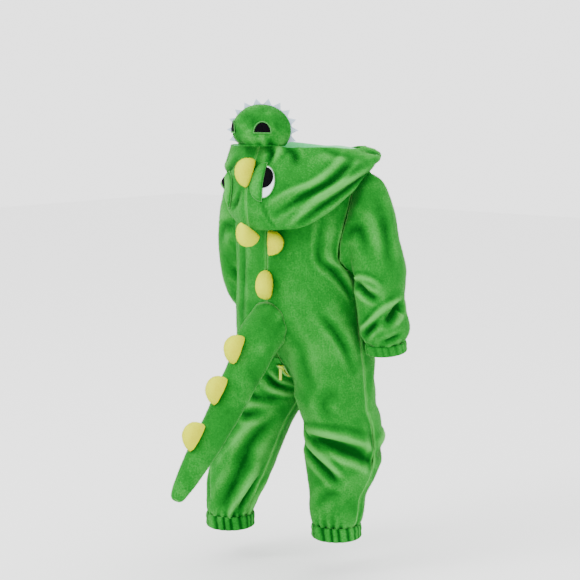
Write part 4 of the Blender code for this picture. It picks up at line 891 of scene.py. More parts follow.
def muzzle_half(name, depth, behind, finish):
    """Half of the stuffed dome, soft and uneven, flat against the teeth and where it stands."""
    bm = bmesh.new()
    bmesh.ops.create_uvsphere(bm, u_segments=128, v_segments=80, radius=1.0)
    bmesh.ops.scale(bm, verts=bm.verts, vec=(MUZZLE_RADIUS, depth, MUZZLE_RADIUS))
    facing = -1.0 if behind else 1.0
    slit = Vector((0, facing * (FELT / 2 + GAP), 0))
    for place, cut in ((slit, Vector((0, facing, 0))), (Vector((0, 0, -MUZZLE_DROP)), Vector((0, 0, 1)))):
        everything = bm.verts[:] + bm.edges[:] + bm.faces[:]
        bmesh.ops.bisect_plane(bm, geom=everything, plane_co=place, plane_no=cut, clear_inner=True)
        bmesh.ops.contextual_create(bm, geom=[edge for edge in bm.edges if edge.is_boundary])
    painted_tones = []
    for vertex in bm.verts:
        place = vertex.co.copy()
        stand = (place.y * facing - FELT / 2 - GAP) / depth
        above = place.z + MUZZLE_DROP
        held = min(max(stand / 0.12, 0.0), 1.0) * min(max(above / 0.002, 0.0), 1.0)
        turn = atan2(place.x, -place.y)
        pucker = exp(-above / PUCKER_RISE) * cos(PUCKERS * turn + 2.6 * sin(2 * turn) + above * 90)
        strength = 0.25 + 0.75 * exp(-((turn - 0.9) / 0.7) ** 2)
        push = 0.0020 * noise.fractal(place * 26.0, 0.8, 2.0, 3)
        push += PUCKER_DEPTH * pucker * strength - 0.0035 * exp(-above / 0.005)
        vertex.co += place.normalized() * push * held
        # Painted shade where the plush is pushed in at the puckers and the foot, painted highlight where it bulges
        # out.
        painted_tones.append(min(max(push * held / PAINTED_SHADING_DEPTH, -1.0), 1.0) * 0.5)
    bmesh.ops.recalc_face_normals(bm, faces=bm.faces)
    mesh = bpy.data.meshes.new(name)
    bm.to_mesh(mesh)
    bm.free()
    mesh.attributes.new("painted_shading", "FLOAT", "POINT").data.foreach_set("value", painted_tones)
    mesh.attributes.new("outside", "FLOAT", "POINT").data.foreach_set("value", np.ones(len(painted_tones)))
    mesh.transform(muzzle_turn())
    mesh.shade_smooth()
    mesh.set_sharp_from_angle(angle=radians(50))
    mesh.materials.append(finish)
    made = bpy.data.objects.new(name, mesh)
    bpy.context.scene.collection.objects.link(made)
    return made


for name, depth, behind, finish, slot in (
        ("muzzle_top", MUZZLE_DEPTH, True, green_plush, "green_plush"),
        ("muzzle_under", MUZZLE_UNDER_DEPTH, False, mint_knit, "mint_lining")):
    piece = muzzle_half(name + "_pad", depth, behind, finish)
    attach(piece, "garment")
    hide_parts(name)

tooth_felt = knit_finish("tooth_felt", (0.36, 0.45, 0.55, 1.0), (0.48, 0.57, 0.67, 1.0))
frame["nodes"]["muzzle_teeth"].material_slots[0].material = tooth_felt


# Nostrils and eyes
# Close-cropped felt patches, each nostril and eye white held down by a satin stitch along its edge, and a padded lid
# beside each eye.
NOSTRIL_PLACE = 0.0357
NOSTRIL_SHIFT = 0.0188   # the pair sits a little to the left of the muzzle's own middle
NOSTRIL_HALF = 0.0148
NOSTRIL_FOOT = -0.0045
NOSTRIL_RISE = 0.0240
HOOD_ROUND = 0.134
EYE_HEIGHT = -0.036
EYE_ACROSS = 0.0310
EYE_WIDE = 0.0180
LEFT_EYE_DROP = 0.0160
LEFT_EYE_SHIFT = 0.0360   # the cloth bunches at the centre seam on this side
EYE_HALF = 0.0235
PUPIL_WIDE = 0.0150
PUPIL_HALF = 0.0150
PUPIL_UP = 0.0060
LID_ROOM = 0.0012
LID_WIDE = 0.0230
LID_HALF = 0.0285
LID_PAD = 0.0060
PATCH_COUNT = 30
white_felt = knit_finish("white_felt", (0.62, 0.68, 0.72, 1.0), (0.76, 0.80, 0.84, 1.0))
black_felt = knit_finish("black_felt", (0.0010, 0.0010, 0.0014, 1.0), (0.0035, 0.0035, 0.0045, 1.0), 0.02)


def disc_place(i, j, count):
    """Evenly spread grid place on a unit disc."""
    s = 2.0 * i / count - 1.0
    t = 2.0 * j / count - 1.0
    return s * sqrt(1 - t * t / 2), t * sqrt(1 - s * s / 2)


def half_round(x, y):
    """A disc place moved to a half disc with its flat side at 0."""
    edge = sqrt(max(1 - y * y, 0.0))
    return (x + edge) / 2, y


def patch(name, place_on, thick, pad, finish):
    """A sewn patch over a surface, and the line of its edge with the directions out of the surface."""
    outer, inner, painted_shading = [], [], []
    for i in range(PATCH_COUNT + 1):
        top, foot, painted_tone = [], [], []
        for j in range(PATCH_COUNT + 1):
            x, y = disc_place(i, j, PATCH_COUNT)
            point, out = place_on(x, y)
            swell = sqrt(max(1 - x * x - y * y, 0.0))
            foot.append(point)
            top.append(point + out * (thick + pad * swell))
            # Painted highlight on the top of a padded lid and painted shade at its edge.
            painted_tone.append(0.25 * swell - 0.1 if pad else 0.0)
        outer.append(top)
        inner.append(foot)
        painted_shading.append(painted_tone)
    edge = [place_on(cos(a), sin(a)) for a in np.linspace(0.0, 2 * pi, 97)]
    line = [(point + out * thick, out) for point, out in edge]
    return shell(name, outer, inner, False, finish, painted_shading), line


def hood_spot(side, turn, height, lift):
    """A place on the creased hood in a direction round the neck and at a height, lifted off it."""
    turns = [row.turn for row in hood_table(side)]
    low, high = 0.0, len(turns) - 1.0
    for _ in range(20):
        middle = (low + high) / 2
        low, high = (middle, high) if smooth_value(turns, middle) < turn else (low, middle)
    place = low
    low, high = 4.0, 6.0
    for _ in range(20):
        middle = (low + high) / 2
        low, high = (middle, high) if hood_form(side, place, middle)[0].z < height else (low, middle)
    grid, outs = hoods[side]
    u, v = place * PLACE_STEPS, min(low, 5.99) * ALONG_STEPS
    i, j = int(u), int(v)
    f, g = u - i, v - j
    weights = ((i, j, (1 - f) * (1 - g)), (i + 1, j, f * (1 - g)), (i, j + 1, (1 - f) * g), (i + 1, j + 1, f * g))
    point = sum((Vector(grid[a, b]) * w for a, b, w in weights), Vector())
    out = sum((Vector(outs[a, b]) * w for a, b, w in weights), Vector()).normalized()
    return point + out * lift, out


satin_lines = []
for word, side in (("right", 1), ("left", -1)):

    def nostril_place(x, y, side=side):
        """A place on the muzzle's back: flat along its foot and round above."""
        rise, run = half_round(x, y)
        across = NOSTRIL_PLACE * side + NOSTRIL_HALF * run - NOSTRIL_SHIFT
        height = NOSTRIL_FOOT + NOSTRIL_RISE * rise
        way = Vector((sin(across / MUZZLE_RADIUS), -cos(across / MUZZLE_RADIUS), height / MUZZLE_RADIUS))
        way.normalize()
        size = Vector((way.x / MUZZLE_RADIUS, way.y / MUZZLE_DEPTH, way.z / MUZZLE_RADIUS)).length
        point = way / size
        square = Vector((point.x, point.y * (MUZZLE_RADIUS / MUZZLE_DEPTH) ** 2, point.z)).normalized()
        return muzzle_turn() @ (point + square * LIFT), muzzle_turn().to_3x3() @ square

    shift, drop = (0.0, 0.0) if side > 0 else (LEFT_EYE_SHIFT, LEFT_EYE_DROP)

    def spot(across, height, lift, side=side, shift=shift, drop=drop):
        """A place on the hood beside the eye."""
        return hood_spot(side, abs(across + shift) / HOOD_ROUND * 180 / pi, EYE_HEIGHT - drop + height, lift)

    def white_place(x, y):
        """The eye's white, flat along the lid."""
        rise, run = half_round(x, y)
        return spot(EYE_ACROSS + EYE_WIDE * rise, EYE_HALF * run, LIFT)

    def pupil_place(x, y):
        """The pupil, against the lid and high in the white."""
        rise, run = half_round(x, y)
        return spot(EYE_ACROSS + PUPIL_WIDE * rise, PUPIL_UP + PUPIL_HALF * run, 2 * LIFT + FELT)

    def lid_place(x, y):
        """The lid, round on its far side."""
        rise, run = half_round(x, y)
        return spot(EYE_ACROSS - LID_ROOM - LID_WIDE * rise, LID_HALF * run, LIFT)

    for node, place_on, thick, pad, finish, slot in (
            ("nostril_", nostril_place, FELT, 0.0, black_felt, "black_patch"),
            ("eye_white_", white_place, FELT, 0.0, white_felt, "white_felt"),
            ("eye_pupil_", pupil_place, FELT / 2, 0.0, black_felt, "black_patch"),
            ("eyelid_", lid_place, FELT, LID_PAD, green_plush, "green_plush")):
        piece, line = patch(node + word + "_patch", place_on, thick, pad, finish)
        if node != "eye_pupil_":
            satin_lines.append(line)
        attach(piece, "garment")
        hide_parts(node + word)

# Spikes
# Seven stuffed half discs of yellow plush, their flat sides sewn into the seams of the hood, the back and the tail.
# The upper one on the back has flopped over flat under the hood.
SPIKE_HALF_LENGTH = 0.0225
SPIKE_HEIGHT = 0.028
SPIKE_HALF_THICKNESS = 0.0120
SPIKE_EDGE = 0.0012
SPIKE_ROOM = 0.0012
TAIL_SPIKE_ROOM = 0.0022
RIDGE_STEP = 0.7
HOOD_SPIKE_PLACES = (5.35, 3.98)
BACK_SPIKE_HEIGHT = -0.198
BACK_SPIKE_LEAN = 28
FLAT_SPIKE_HEIGHT = -0.131
FLAT_SPIKE_PLACE = Vector((0.016, -0.0125, 0.0))
FLAT_SPIKE_OUT = Vector((1.0, 0.08, 0.0))
Tail = namedtuple("Tail", "y z half")
TAIL = [
    Tail(-0.090, -0.262, 0.0360),
    Tail(-0.113, -0.286, 0.0340),
    Tail(-0.132, -0.314, 0.0300),
    Tail(-0.158, -0.345, 0.0270),
    Tail(-0.184, -0.377, 0.0250),
    Tail(-0.212, -0.409, 0.0232),
    Tail(-0.240, -0.438, 0.0212),
    Tail(-0.264, -0.463, 0.0180),
    Tail(-0.283, -0.4835, 0.0138),
    Tail(-0.2935, -0.4955, 0.0100),
    Tail(-0.2975, -0.5000, 0.0055),
]
TAIL_SPIKES = (1.95, 3.75, 5.75)
SPIKE_COUNT = 26
EDGE_ROLL = 0.0011
# Yellow plush, with the same painted shade in folds and painted highlight on crests and rims.
yellow_plush = plush_finish("yellow_pile", (0.38, 0.36, 0.0, 1.0), (0.53, 0.54, 0.0, 1.0),
                            (0.60, 0.68, 0.0, 1.0), (0.95, 1.0, 0.0, 1.0))


def spike(name, base, along, out, size=1.0):
    """One stuffed half disc, rolled a little thicker along its sewn edge."""
    across = along.cross(out).normalized()
    outer, inner, painted_shading = [], [], []
    for i in range(SPIKE_COUNT + 1):
        top, foot, painted_tone = [], [], []
        for j in range(SPIKE_COUNT + 1):
            x, y = disc_place(i, j, SPIKE_COUNT)
            rise, run = half_round(x, y)
            round_out = min(x * x + y * y, 1.0)
            point = base + out * (size * SPIKE_HEIGHT * rise) + along * (size * SPIKE_HALF_LENGTH * run)
            pad = SPIKE_EDGE + size * SPIKE_HALF_THICKNESS * sqrt(1 - round_out) ** 0.9
            pad += 0.0007 * noise.fractal(point * 60.0, 0.8, 2.0, 2)
            pad += EDGE_ROLL * exp(-((1 - sqrt(round_out)) / 0.05) ** 2) * (1 if rise > 0.05 else 0)
            top.append(point + across * pad)
            foot.append(point - across * pad)
            # Painted highlight along the spike's rounded rim, and the middle a little darker.
            painted_tone.append(0.18 * round_out ** 3 - 0.03)
        outer.append(top)
        inner.append(foot)
        painted_shading.append(painted_tone)
    return shell(name, outer, inner, False, yellow_plush, painted_shading)


def row_at(side, across, height):
    """The row where the body passes a height."""
    low = 0.0
    high = float(last_row(side))
    for _ in range(24):
        middle = (low + high) / 2
        if body_form(side, across, middle).z > height:
            low = middle
        else:
            high = middle
    return low


def tail_frame(place):
    """The tail's middle, its direction and its upward side at a place along it."""
    row = section(TAIL, place)
    ahead = section(TAIL, min(place + 0.1, len(TAIL) - 1.0))
    behind = section(TAIL, max(place - 0.1, 0.0))
    run = Vector((0, ahead.y - behind.y, ahead.z - behind.z)).normalized()
    return Vector((0, row.y, row.z)), run, Vector((0, run.z, -run.y)), row.half


def ridge_point(place):
    """Point on the tail's ridge, where its halves meet."""
    centre, run, up, half = tail_frame(place)
    return centre + up * half


def seam_point(height):
    """Point on the centre back seam."""
    return body_form(1, 0.0, row_at(1, 0.0, height))


spike_bases = []
for name, place in (("hood_spike_upper", HOOD_SPIKE_PLACES[0]), ("hood_spike_lower", HOOD_SPIKE_PLACES[1])):
    point, out = hood_form(1, 0.0, place)
    spike_bases.append((name, point + out * SPIKE_ROOM, Vector((0, -out.z, out.y)), out, 1.0))
lean = radians(BACK_SPIKE_LEAN)
base = seam_point(BACK_SPIKE_HEIGHT) + Vector((0.001, -SPIKE_ROOM - 0.001, 0))
spike_bases.append(("back_spike_lower", base, Vector((0, 0, 1)), Vector((sin(lean), -cos(lean), 0)), 1.0))
base = seam_point(FLAT_SPIKE_HEIGHT) + FLAT_SPIKE_PLACE
spike_bases.append(("back_spike_upper", base, Vector((0, 0, 1)), FLAT_SPIKE_OUT.normalized(), 0.86))
for k, place in enumerate(TAIL_SPIKES):
    along = (ridge_point(place + RIDGE_STEP) - ridge_point(place - RIDGE_STEP)).normalized()
    up = Vector((0, along.z, -along.y))
    spike_bases.append(("tail_spike_%d" % (k + 1), ridge_point(place) + up * TAIL_SPIKE_ROOM, along, up, 1.0))
for name, base, along, out, size in spike_bases:
    piece = spike(name + "_pad", base, along, out, size)
    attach(piece, "garment")
    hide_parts(name)


# Tail
# Two stuffed halves of plush joined along the top and the underside, the root sewn to the back over the seat.
TAIL_TOP = -0.262       # height of the tail's root on the back seam
TAIL_ROOT_HALF = 0.037
TAIL_ROOT_ROOM = 0.0009


def back_depth(x, z):
    """How far back the body's face lies at a place beside the centre back seam."""
    low = 0.0
    high = 0.9
    for _ in range(18):
        across = (low + high) / 2
        if body_form(1, across, row_at(1, across, z)).x < x:
            low = across
        else:
            high = across
    return body_form(1, low, row_at(1, low, z)).y


TAIL_STEPS = 10
TAIL_COLUMNS = 32
ROOT_PLACE = 0.7
TAIL_WAVE = 0.0016


def tail_ring(side, place):
    """One half ring of the tail from the top seam to the underside, and its flat inner side."""
    centre, run, up, half = tail_frame(max(place, ROOT_PLACE))
    share = min(place / ROOT_PLACE, 1.0)
    ring, core = [], []
    for j in range(TAIL_COLUMNS + 1):
        angle = pi * j / TAIL_COLUMNS
        x = half * sin(angle) + GAP
        point = centre + up * half * cos(angle) + Vector((side * x, 0, 0))
        middle = Vector((side * GAP / 2, point.y, point.z))
        if share < 1.0:
            root_x = tail_frame(0.0)[3] * sin(angle) + GAP
            z = TAIL_TOP + TAIL_ROOT_HALF * cos(angle)
            root = Vector((side * root_x, back_depth(root_x, z) - TAIL_ROOT_ROOM, z))
            point = mix(root, point, share)
            flat = Vector((side * GAP / 2, back_depth(GAP, z) - TAIL_ROOT_ROOM, z))
            middle = mix(flat, middle, share)
        ring.append(point)
        core.append(middle)
    return ring, core


for name, side in (("tail_right", 1), ("tail_left", -1)):
    places = [i / TAIL_STEPS for i in range((len(TAIL) - 1) * TAIL_STEPS + 1)]
    grid, flat = (np.array(part) for part in zip(*[tail_ring(side, place) for place in places]))
    away = grid - flat
    angle = np.linspace(0.0, pi, TAIL_COLUMNS + 1)[None, :]
    wave = soft_wave(grid.reshape(-1, 3), TAIL_WAVE, 22.0).reshape(grid.shape[:2])
    root = np.array([exp(-(place / 0.35) ** 2) for place in places])[:, None]
    press = wave + 0.0012 * root * np.cos(angle * 9 + side)
    press = press * np.sin(angle) ** 0.5
    depth = np.maximum(np.linalg.norm(away, axis=2, keepdims=True), 1e-6)
    grid = grid - away / depth * np.minimum(press[:, :, None], 0.5 * depth)
    # Painted shade in the tail's dents and the gathers at its root, painted highlight on its bumps, all a little
    # darker.
    piece = shell(name + "_pad", grid, flat, False, green_plush, painted_fold_shading(press + 0.0010))
    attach(piece, "garment")
    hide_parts(name)


# Front fastening
# One strip of plush over the centre front, closed by five plain press studs.
PLACKET_ROWS = (1, 12)
PLACKET_SHARES = (0.02, 0.25, 0.52)
PLACKET_LIFT = 0.0008
PLACKET_COLUMNS = 12


def panel_place_at(name, row, share):
    """A place on a finished panel and the direction out of it."""
    outer, outs, rows, shares, piece = panels[name]
    u, v = row / rows[-1] * (len(rows) - 1), share * (len(shares) - 1)
    i, j = min(int(u), len(rows) - 2), min(int(v), len(shares) - 2)
    f, g = u - i, v - j
    weights = ((i, j, (1 - f) * (1 - g)), (i + 1, j, f * (1 - g)), (i, j + 1, (1 - f) * g), (i + 1, j + 1, f * g))
    point = sum((Vector(outer[a, b]) * w for a, b, w in weights), Vector())
    return point, sum((Vector(outs[a, b]) * w for a, b, w in weights), Vector()).normalized()


reach_out = PLACKET_SHARES[-1] / 7
top, foot = [], []
stitch_lines = []
edges = ([], [])
for i in range((PLACKET_ROWS[1] - PLACKET_ROWS[0]) * ROW_STEPS + 1):
    row = PLACKET_ROWS[0] + i / ROW_STEPS
    upper, lower = [], []
    for j in range(-PLACKET_COLUMNS, PLACKET_COLUMNS + 1):
        share = abs(j) / PLACKET_COLUMNS * reach_out
        point, out = panel_place_at("front_right" if j >= 0 else "front_left", row, share)
        if j == 0:
            point.x, out = 0.0, Vector((0, out.y, out.z)).normalized()
        swell = CLOTH * (1 - (abs(j) / PLACKET_COLUMNS) ** 6 * 0.55)
        upper.append(point + out * (PLACKET_LIFT + 0.0009 + swell))
        lower.append(point + out * (PLACKET_LIFT + 0.0004))
        if abs(j) == PLACKET_COLUMNS - 2:
            edges[0 if j < 0 else 1].append((upper[-1], out))
    top.append(upper)
    foot.append(lower)
stitch_lines += list(edges)
piece = shell("front_placket_cloth", top, foot, False, green_plush)
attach(piece, "garment")
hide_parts("front_placket")


def moulded_finish(name, colour, roughness):
    """Moulded plastic."""
    made = bpy.data.materials.new(name)
    made.use_nodes = True
    shader = made.node_tree.nodes["Principled BSDF"]
    shader.inputs["Base Color"].default_value = colour
    shader.inputs["Roughness"].default_value = roughness
    return made


stud_plastic = moulded_finish("green_stud", (0.045, 0.30, 0.06, 1.0), 0.35)
for k in range(1, 6):
    frame["nodes"]["press_stud_%d" % k].material_slots[0].material = stud_plastic


# Zip
# A short lime zip in the back seam from under the tail to the crotch, closed, with its pull hanging down and a
# small square of plush over its top end.
TAPE_SHARES = (0.12, 0.20, 0.30)
TAPE_LIFT = 0.0024
TAPE = 0.0008
ZIP_ROWS = (14, 15)
TOOTH_PITCH = 0.0017
zip_plastic = moulded_finish("lime_zip", (0.46, 0.62, 0.01, 1.0), 0.5)
for node in ("zip_slider", "zip_pull"):
    frame["nodes"][node].material_slots[0].material = zip_plastic
frame["nodes"]["zip_patch"].material_slots[0].material = green_plush
tape_knit = knit_finish("zip_tape", (0.05, 0.26, 0.03, 1.0), (0.09, 0.36, 0.05, 1.0))
tooth_lines = []
for word, side in (("right", 1), ("left", -1)):
    top, foot, line = [], [], []
    for i in range((ZIP_ROWS[1] - ZIP_ROWS[0]) * ROW_STEPS * 2 + 1):
        row = ZIP_ROWS[0] + i / ROW_STEPS / 2
        upper, lower = [], []
        for share in np.linspace(TAPE_SHARES[0], TAPE_SHARES[-1], 5):
            point, out = panel_place_at("back_" + word, row, share / 7)
            upper.append(point + out * (TAPE_LIFT + TAPE))
            lower.append(point + out * TAPE_LIFT)
        line.append((upper[0], out))
        top.append(upper)
        foot.append(lower)
    tooth_lines.append(line)
    piece = shell("zip_tape_" + word + "_knit", top, foot, False, tape_knit)
    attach(piece, "garment")
    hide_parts("zip_tape_" + word)

# Sewing
# Satin stitch round the nostrils, the eye whites and the lids, a running stitch along the placket, and the zip's
# teeth:
# all of them small rounded pieces set at an even pitch along a line, with the line's own direction out of the cloth.


def socket(tree, name, kind, value):
    """A named input of a tree of nodes."""
    made = tree.interface.new_socket(name=name, in_out="INPUT", socket_type=kind)
    if value is not None:
        made.default_value = value
    return made


def row_tree():
    """Nodes that set one small rounded piece after another along a line."""
    tree = bpy.data.node_groups.new("row_of_pieces", "GeometryNodeTree")
    socket(tree, "Line", "NodeSocketGeometry", None)
    for name, value in (("Pitch", 0.001), ("Length", 0.001), ("Width", 0.001), ("Height", 0.001)):
        socket(tree, name, "NodeSocketFloat", value)
    socket(tree, "Finish", "NodeSocketMaterial", None)
    tree.interface.new_socket(name="Pieces", in_out="OUTPUT", socket_type="NodeSocketGeometry")
    nodes, links = tree.nodes, tree.links
    given = nodes.new("NodeGroupInput")
    result = nodes.new("NodeGroupOutput")
    curve = nodes.new("GeometryNodeMeshToCurve")
    spaced = nodes.new("GeometryNodeResampleCurve")
    spaced.mode = "LENGTH"
    ball = nodes.new("GeometryNodeMeshIcoSphere")
    ball.inputs["Radius"].default_value = 0.5
    ball.inputs["Subdivisions"].default_value = 1
    size = nodes.new("ShaderNodeCombineXYZ")
    tangent = nodes.new("GeometryNodeInputTangent")
    out = nodes.new("GeometryNodeInputNamedAttribute")
    out.data_type = "FLOAT_VECTOR"
    out.inputs["Name"].default_value = "out"
    first = nodes.new("FunctionNodeAlignRotationToVector")
    first.axis = "X"
    second = nodes.new("FunctionNodeAlignRotationToVector")
    second.axis = "Z"
    second.pivot_axis = "X"
    set_out = nodes.new("GeometryNodeInstanceOnPoints")
    whole = nodes.new("GeometryNodeRealizeInstances")
    dressed = nodes.new("GeometryNodeSetMaterial")
    links.new(given.outputs["Line"], curve.inputs["Mesh"])
    links.new(curve.outputs[0], spaced.inputs["Curve"])
    links.new(given.outputs["Pitch"], spaced.inputs["Length"])
    links.new(tangent.outputs[0], first.inputs["Vector"])
    links.new(first.outputs["Rotation"], second.inputs["Rotation"])
    links.new(out.outputs["Attribute"], second.inputs["Vector"])
    links.new(spaced.outputs[0], set_out.inputs["Points"])
    links.new(ball.outputs["Mesh"], set_out.inputs["Instance"])
    links.new(second.outputs["Rotation"], set_out.inputs["Rotation"])
    for name, axis in (("Length", "X"), ("Width", "Y"), ("Height", "Z")):
        links.new(given.outputs[name], size.inputs[axis])
    links.new(size.outputs[0], set_out.inputs["Scale"])
    links.new(set_out.outputs[0], whole.inputs[0])
    links.new(whole.outputs[0], dressed.inputs["Geometry"])
    links.new(given.outputs["Finish"], dressed.inputs["Material"])
    links.new(dressed.outputs[0], result.inputs[0])
    return tree


def grown(name, mesh, tree, values):
    """A plain mesh of what the nodes make on a mesh."""
    holder = bpy.data.objects.new(name + "_guide", mesh)
    bpy.context.scene.collection.objects.link(holder)
    modifier = holder.modifiers.new("grow", "NODES")
    modifier.node_group = tree
    keys = {item.name: item.identifier for item in tree.interface.items_tree if item.in_out == "INPUT"}
    for word, value in values.items():
        modifier[keys[word]] = value
    bpy.context.view_layer.update()
    seen = holder.evaluated_get(bpy.context.evaluated_depsgraph_get())
    made = bpy.data.objects.new(name, bpy.data.meshes.new_from_object(seen))
    made.data.name = name
    bpy.context.scene.collection.objects.link(made)
    bpy.data.objects.remove(holder, do_unlink=True)
    return made


def guide(name, lines):
    """A mesh of open lines with the direction out of the cloth at each point."""
    mesh = bpy.data.meshes.new(name)
    points, edges, outs = [], [], []
    for line in lines:
        first = len(points)
        points += [tuple(point) for point, out in line]
        outs += [value for point, out in line for value in out]
        edges += [(first + k, first + k + 1) for k in range(len(line) - 1)]
    mesh.from_pydata(points, edges, [])
    mesh.attributes.new("out", "FLOAT_VECTOR", "POINT").data.foreach_set("vector", outs)
    return mesh


row_nodes = row_tree()
thread = moulded_finish("green_thread", (0.045, 0.30, 0.045, 1.0), 0.7)
for name, lines, size, finish, slot in (
        ("patch_satin_stitch", satin_lines, (0.00075, 0.0007, 0.0024, 0.0012), thread, "green_plush"),
        ("placket_running_stitch", stitch_lines, (0.0042, 0.0030, 0.0007, 0.0006), thread, "green_plush"),
        ("zip_teeth", tooth_lines, (TOOTH_PITCH, 0.0011, 0.0026, 0.0016), zip_plastic, "lime_plastic")):
    values = dict(zip(("Pitch", "Length", "Width", "Height"), size))
    values["Finish"] = finish
    piece = grown(name, guide(name, lines), row_nodes, values)
    piece.data.shade_smooth()
    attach(piece, "garment")


# Pile
# Short fibres brushed downwards on the outer face of the panels, sleeves, hood halves, muzzle, tail and spikes,
# which soften their outline and their folds.
FIBRE_LENGTH = 0.0021
FIBRE_WIDTH = 0.00042
FIBRES = 420000          # for each square metre of the outer face
FIBRE_LIFT = 0.62        # radians that a fibre stands up from the cloth


def pile_tree():
    """Nodes that set fibres over the outside of a piece of cloth, leaning down it."""
    tree = bpy.data.node_groups.new("short_pile", "GeometryNodeTree")
    socket(tree, "Cloth", "NodeSocketGeometry", None)
    for name, value in (("Density", 1000.0), ("Length", 0.002), ("Width", 0.0004), ("Lift", 0.6)):
        socket(tree, name, "NodeSocketFloat", value)
    socket(tree, "Seed", "NodeSocketInt", 1)
    socket(tree, "Finish", "NodeSocketMaterial", None)
    tree.interface.new_socket(name="Fibres", in_out="OUTPUT", socket_type="NodeSocketGeometry")
    nodes, links = tree.nodes, tree.links
    given = nodes.new("NodeGroupInput")
    result = nodes.new("NodeGroupOutput")
    outside = nodes.new("GeometryNodeInputNamedAttribute")
    outside.inputs["Name"].default_value = "outside"
    chosen = nodes.new("FunctionNodeCompare")
    chosen.inputs["B"].default_value = 0.9
    spread = nodes.new("GeometryNodeDistributePointsOnFaces")
    stand = nodes.new("FunctionNodeAlignRotationToVector")
    stand.axis = "Z"
    fall = nodes.new("FunctionNodeAlignRotationToVector")
    fall.axis = "X"
    fall.pivot_axis = "Z"
    fall.inputs["Vector"].default_value = (0.0, 0.0, -1.0)
    stray = nodes.new("FunctionNodeRandomValue")
    stray.data_type = "FLOAT_VECTOR"
    stray.inputs["Min"].default_value = (0.0, -0.35, -1.0)
    stray.inputs["Max"].default_value = (0.0, 0.35, 1.0)
    spin = nodes.new("FunctionNodeEulerToRotation")
    turned = nodes.new("FunctionNodeRotateRotation")
    turned.rotation_space = "LOCAL"
    blade = nodes.new("GeometryNodeMeshCircle")
    blade.fill_type = "NGON"
    blade.inputs["Vertices"].default_value = 3
    blade.inputs["Radius"].default_value = 1.0
    foot = nodes.new("GeometryNodeTransform")
    foot.inputs["Translation"].default_value = (0.5, 0.0, 0.0)
    sized = nodes.new("GeometryNodeTransform")
    size = nodes.new("ShaderNodeCombineXYZ")
    size.inputs["Z"].default_value = 1.0
    long = nodes.new("ShaderNodeMath")
    long.operation = "DIVIDE"
    long.inputs[1].default_value = 1.5
    wide = nodes.new("ShaderNodeMath")
    wide.operation = "DIVIDE"
    wide.inputs[1].default_value = 1.732
    lifted = nodes.new("GeometryNodeTransform")
    tilt = nodes.new("ShaderNodeCombineXYZ")
    down = nodes.new("ShaderNodeMath")
    down.operation = "MULTIPLY"
    down.inputs[1].default_value = -1.0
    set_out = nodes.new("GeometryNodeInstanceOnPoints")
    whole = nodes.new("GeometryNodeRealizeInstances")
    dressed = nodes.new("GeometryNodeSetMaterial")
    for first, socket_out, second, socket_in in (
            (outside, "Attribute", chosen, "A"), (given, "Cloth", spread, "Mesh"),
            (given, "Density", spread, "Density"), (given, "Seed", spread, "Seed"),
            (chosen, "Result", spread, "Selection"), (spread, "Normal", stand, "Vector"),
            (stand, "Rotation", fall, "Rotation"), (fall, "Rotation", turned, "Rotation"),
            (stray, "Value", spin, "Euler"), (spin, "Rotation", turned, "Rotate By"),
            (blade, "Mesh", foot, "Geometry"), (foot, "Geometry", sized, "Geometry"),
            (given, "Length", long, 0), (given, "Width", wide, 0), (long, 0, size, "X"), (wide, 0, size, "Y"),
            (size, 0, sized, "Scale"), (sized, "Geometry", lifted, "Geometry"), (given, "Lift", down, 0),
            (down, 0, tilt, "Y"), (tilt, 0, lifted, "Rotation"), (spread, "Points", set_out, "Points"),
            (lifted, "Geometry", set_out, "Instance"), (turned, "Rotation", set_out, "Rotation"),
            (set_out, 0, whole, 0), (whole, 0, dressed, "Geometry"), (given, "Finish", dressed, "Material"),
            (dressed, 0, result, 0)):
        links.new(first.outputs[socket_out], second.inputs[socket_in])
    return tree


pile_nodes = pile_tree()
for k, node in enumerate(("back_right_cloth", "back_left_cloth", "front_right_cloth", "front_left_cloth",
                          "sleeve_right_cloth", "sleeve_left_cloth", "hood_right_cloth", "hood_left_cloth",
                          "muzzle_top_pad", "tail_right_pad", "tail_left_pad", "hood_spike_upper_pad",
                          "hood_spike_lower_pad", "back_spike_upper_pad", "back_spike_lower_pad",
                          "tail_spike_1_pad", "tail_spike_2_pad", "tail_spike_3_pad")):
    cloth = bpy.data.objects[node]
    values = {"Density": FIBRES, "Length": FIBRE_LENGTH, "Width": FIBRE_WIDTH, "Lift": FIBRE_LIFT, "Seed": 11 + k,
              "Finish": cloth.data.materials[0]}
    piece = grown("pile_" + node.rsplit("_", 1)[0], cloth.data.copy(), pile_nodes, values)
    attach(piece, "garment")


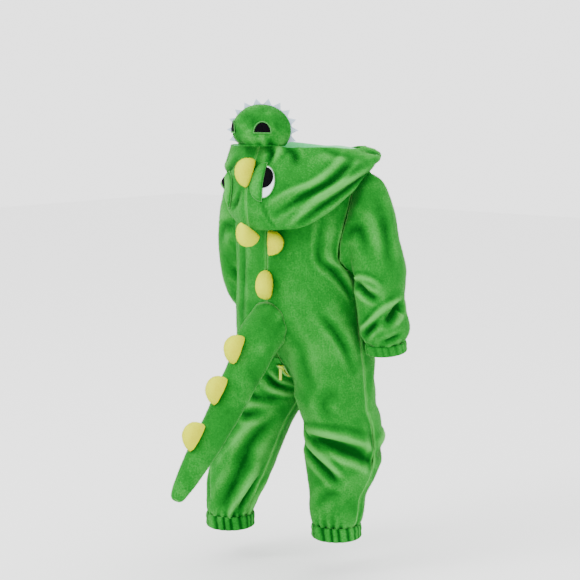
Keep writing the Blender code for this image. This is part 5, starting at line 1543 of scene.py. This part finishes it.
# Picture
# A plain pale floor, a pale surround and three soft lamps. The camera stands behind the garment, a little to its
# right-hand side and a little above the middle, as far off as a long lens needs.
CAMERA_TURN = 40.0
CAMERA_RISE = 7.5
CAMERA_AWAY = 2.6
CAMERA_FIELD = 20.2
TARGET = Vector((-0.017, -0.014, -0.216))
FLOOR = -0.665

turn, rise = radians(CAMERA_TURN), radians(CAMERA_RISE)
away = Vector((sin(turn) * cos(rise), -cos(turn) * cos(rise), sin(rise)))
camera = bpy.data.objects.new("camera", bpy.data.cameras.new("camera"))
camera.data.angle = radians(CAMERA_FIELD)
camera.data.clip_start = 0.05
camera.location = TARGET + away * CAMERA_AWAY
camera.rotation_euler = away.to_track_quat("Z", "Y").to_euler()
bpy.context.scene.collection.objects.link(camera)
bpy.context.scene.camera = camera

floor_mesh = bpy.data.meshes.new("floor")
floor_mesh.from_pydata([(-6, -6, FLOOR), (6, -6, FLOOR), (6, 6, FLOOR), (-6, 6, FLOOR)], [], [(0, 1, 2, 3)])
floor_mesh.materials.append(moulded_finish("pale_floor", (0.90, 0.90, 0.90, 1.0), 0.9))
floor = bpy.data.objects.new("floor", floor_mesh)
bpy.context.scene.collection.objects.link(floor)

world = bpy.data.worlds.new("surround")
world.use_nodes = True
world.node_tree.nodes["Background"].inputs["Color"].default_value = (1.0, 1.0, 1.0, 1.0)
world.node_tree.nodes["Background"].inputs["Strength"].default_value = 2.6
bpy.context.scene.world = world

for name, place, size, power in (("lamp_key", (-0.9, -2.2, 1.7), 1.2, 60.0),
                                 ("lamp_fill", (2.4, -1.2, 0.6), 1.6, 8.0),
                                 ("lamp_top", (0.2, 0.6, 2.4), 1.4, 18.0)):
    light = bpy.data.lights.new(name, "AREA")
    light.shape = "DISK"
    light.size = size
    light.energy = power
    lamp = bpy.data.objects.new(name, light)
    lamp.location = place
    lamp.rotation_euler = (Vector(place) - Vector((0, 0, -0.2))).to_track_quat("Z", "Y").to_euler()
    bpy.context.scene.collection.objects.link(lamp)
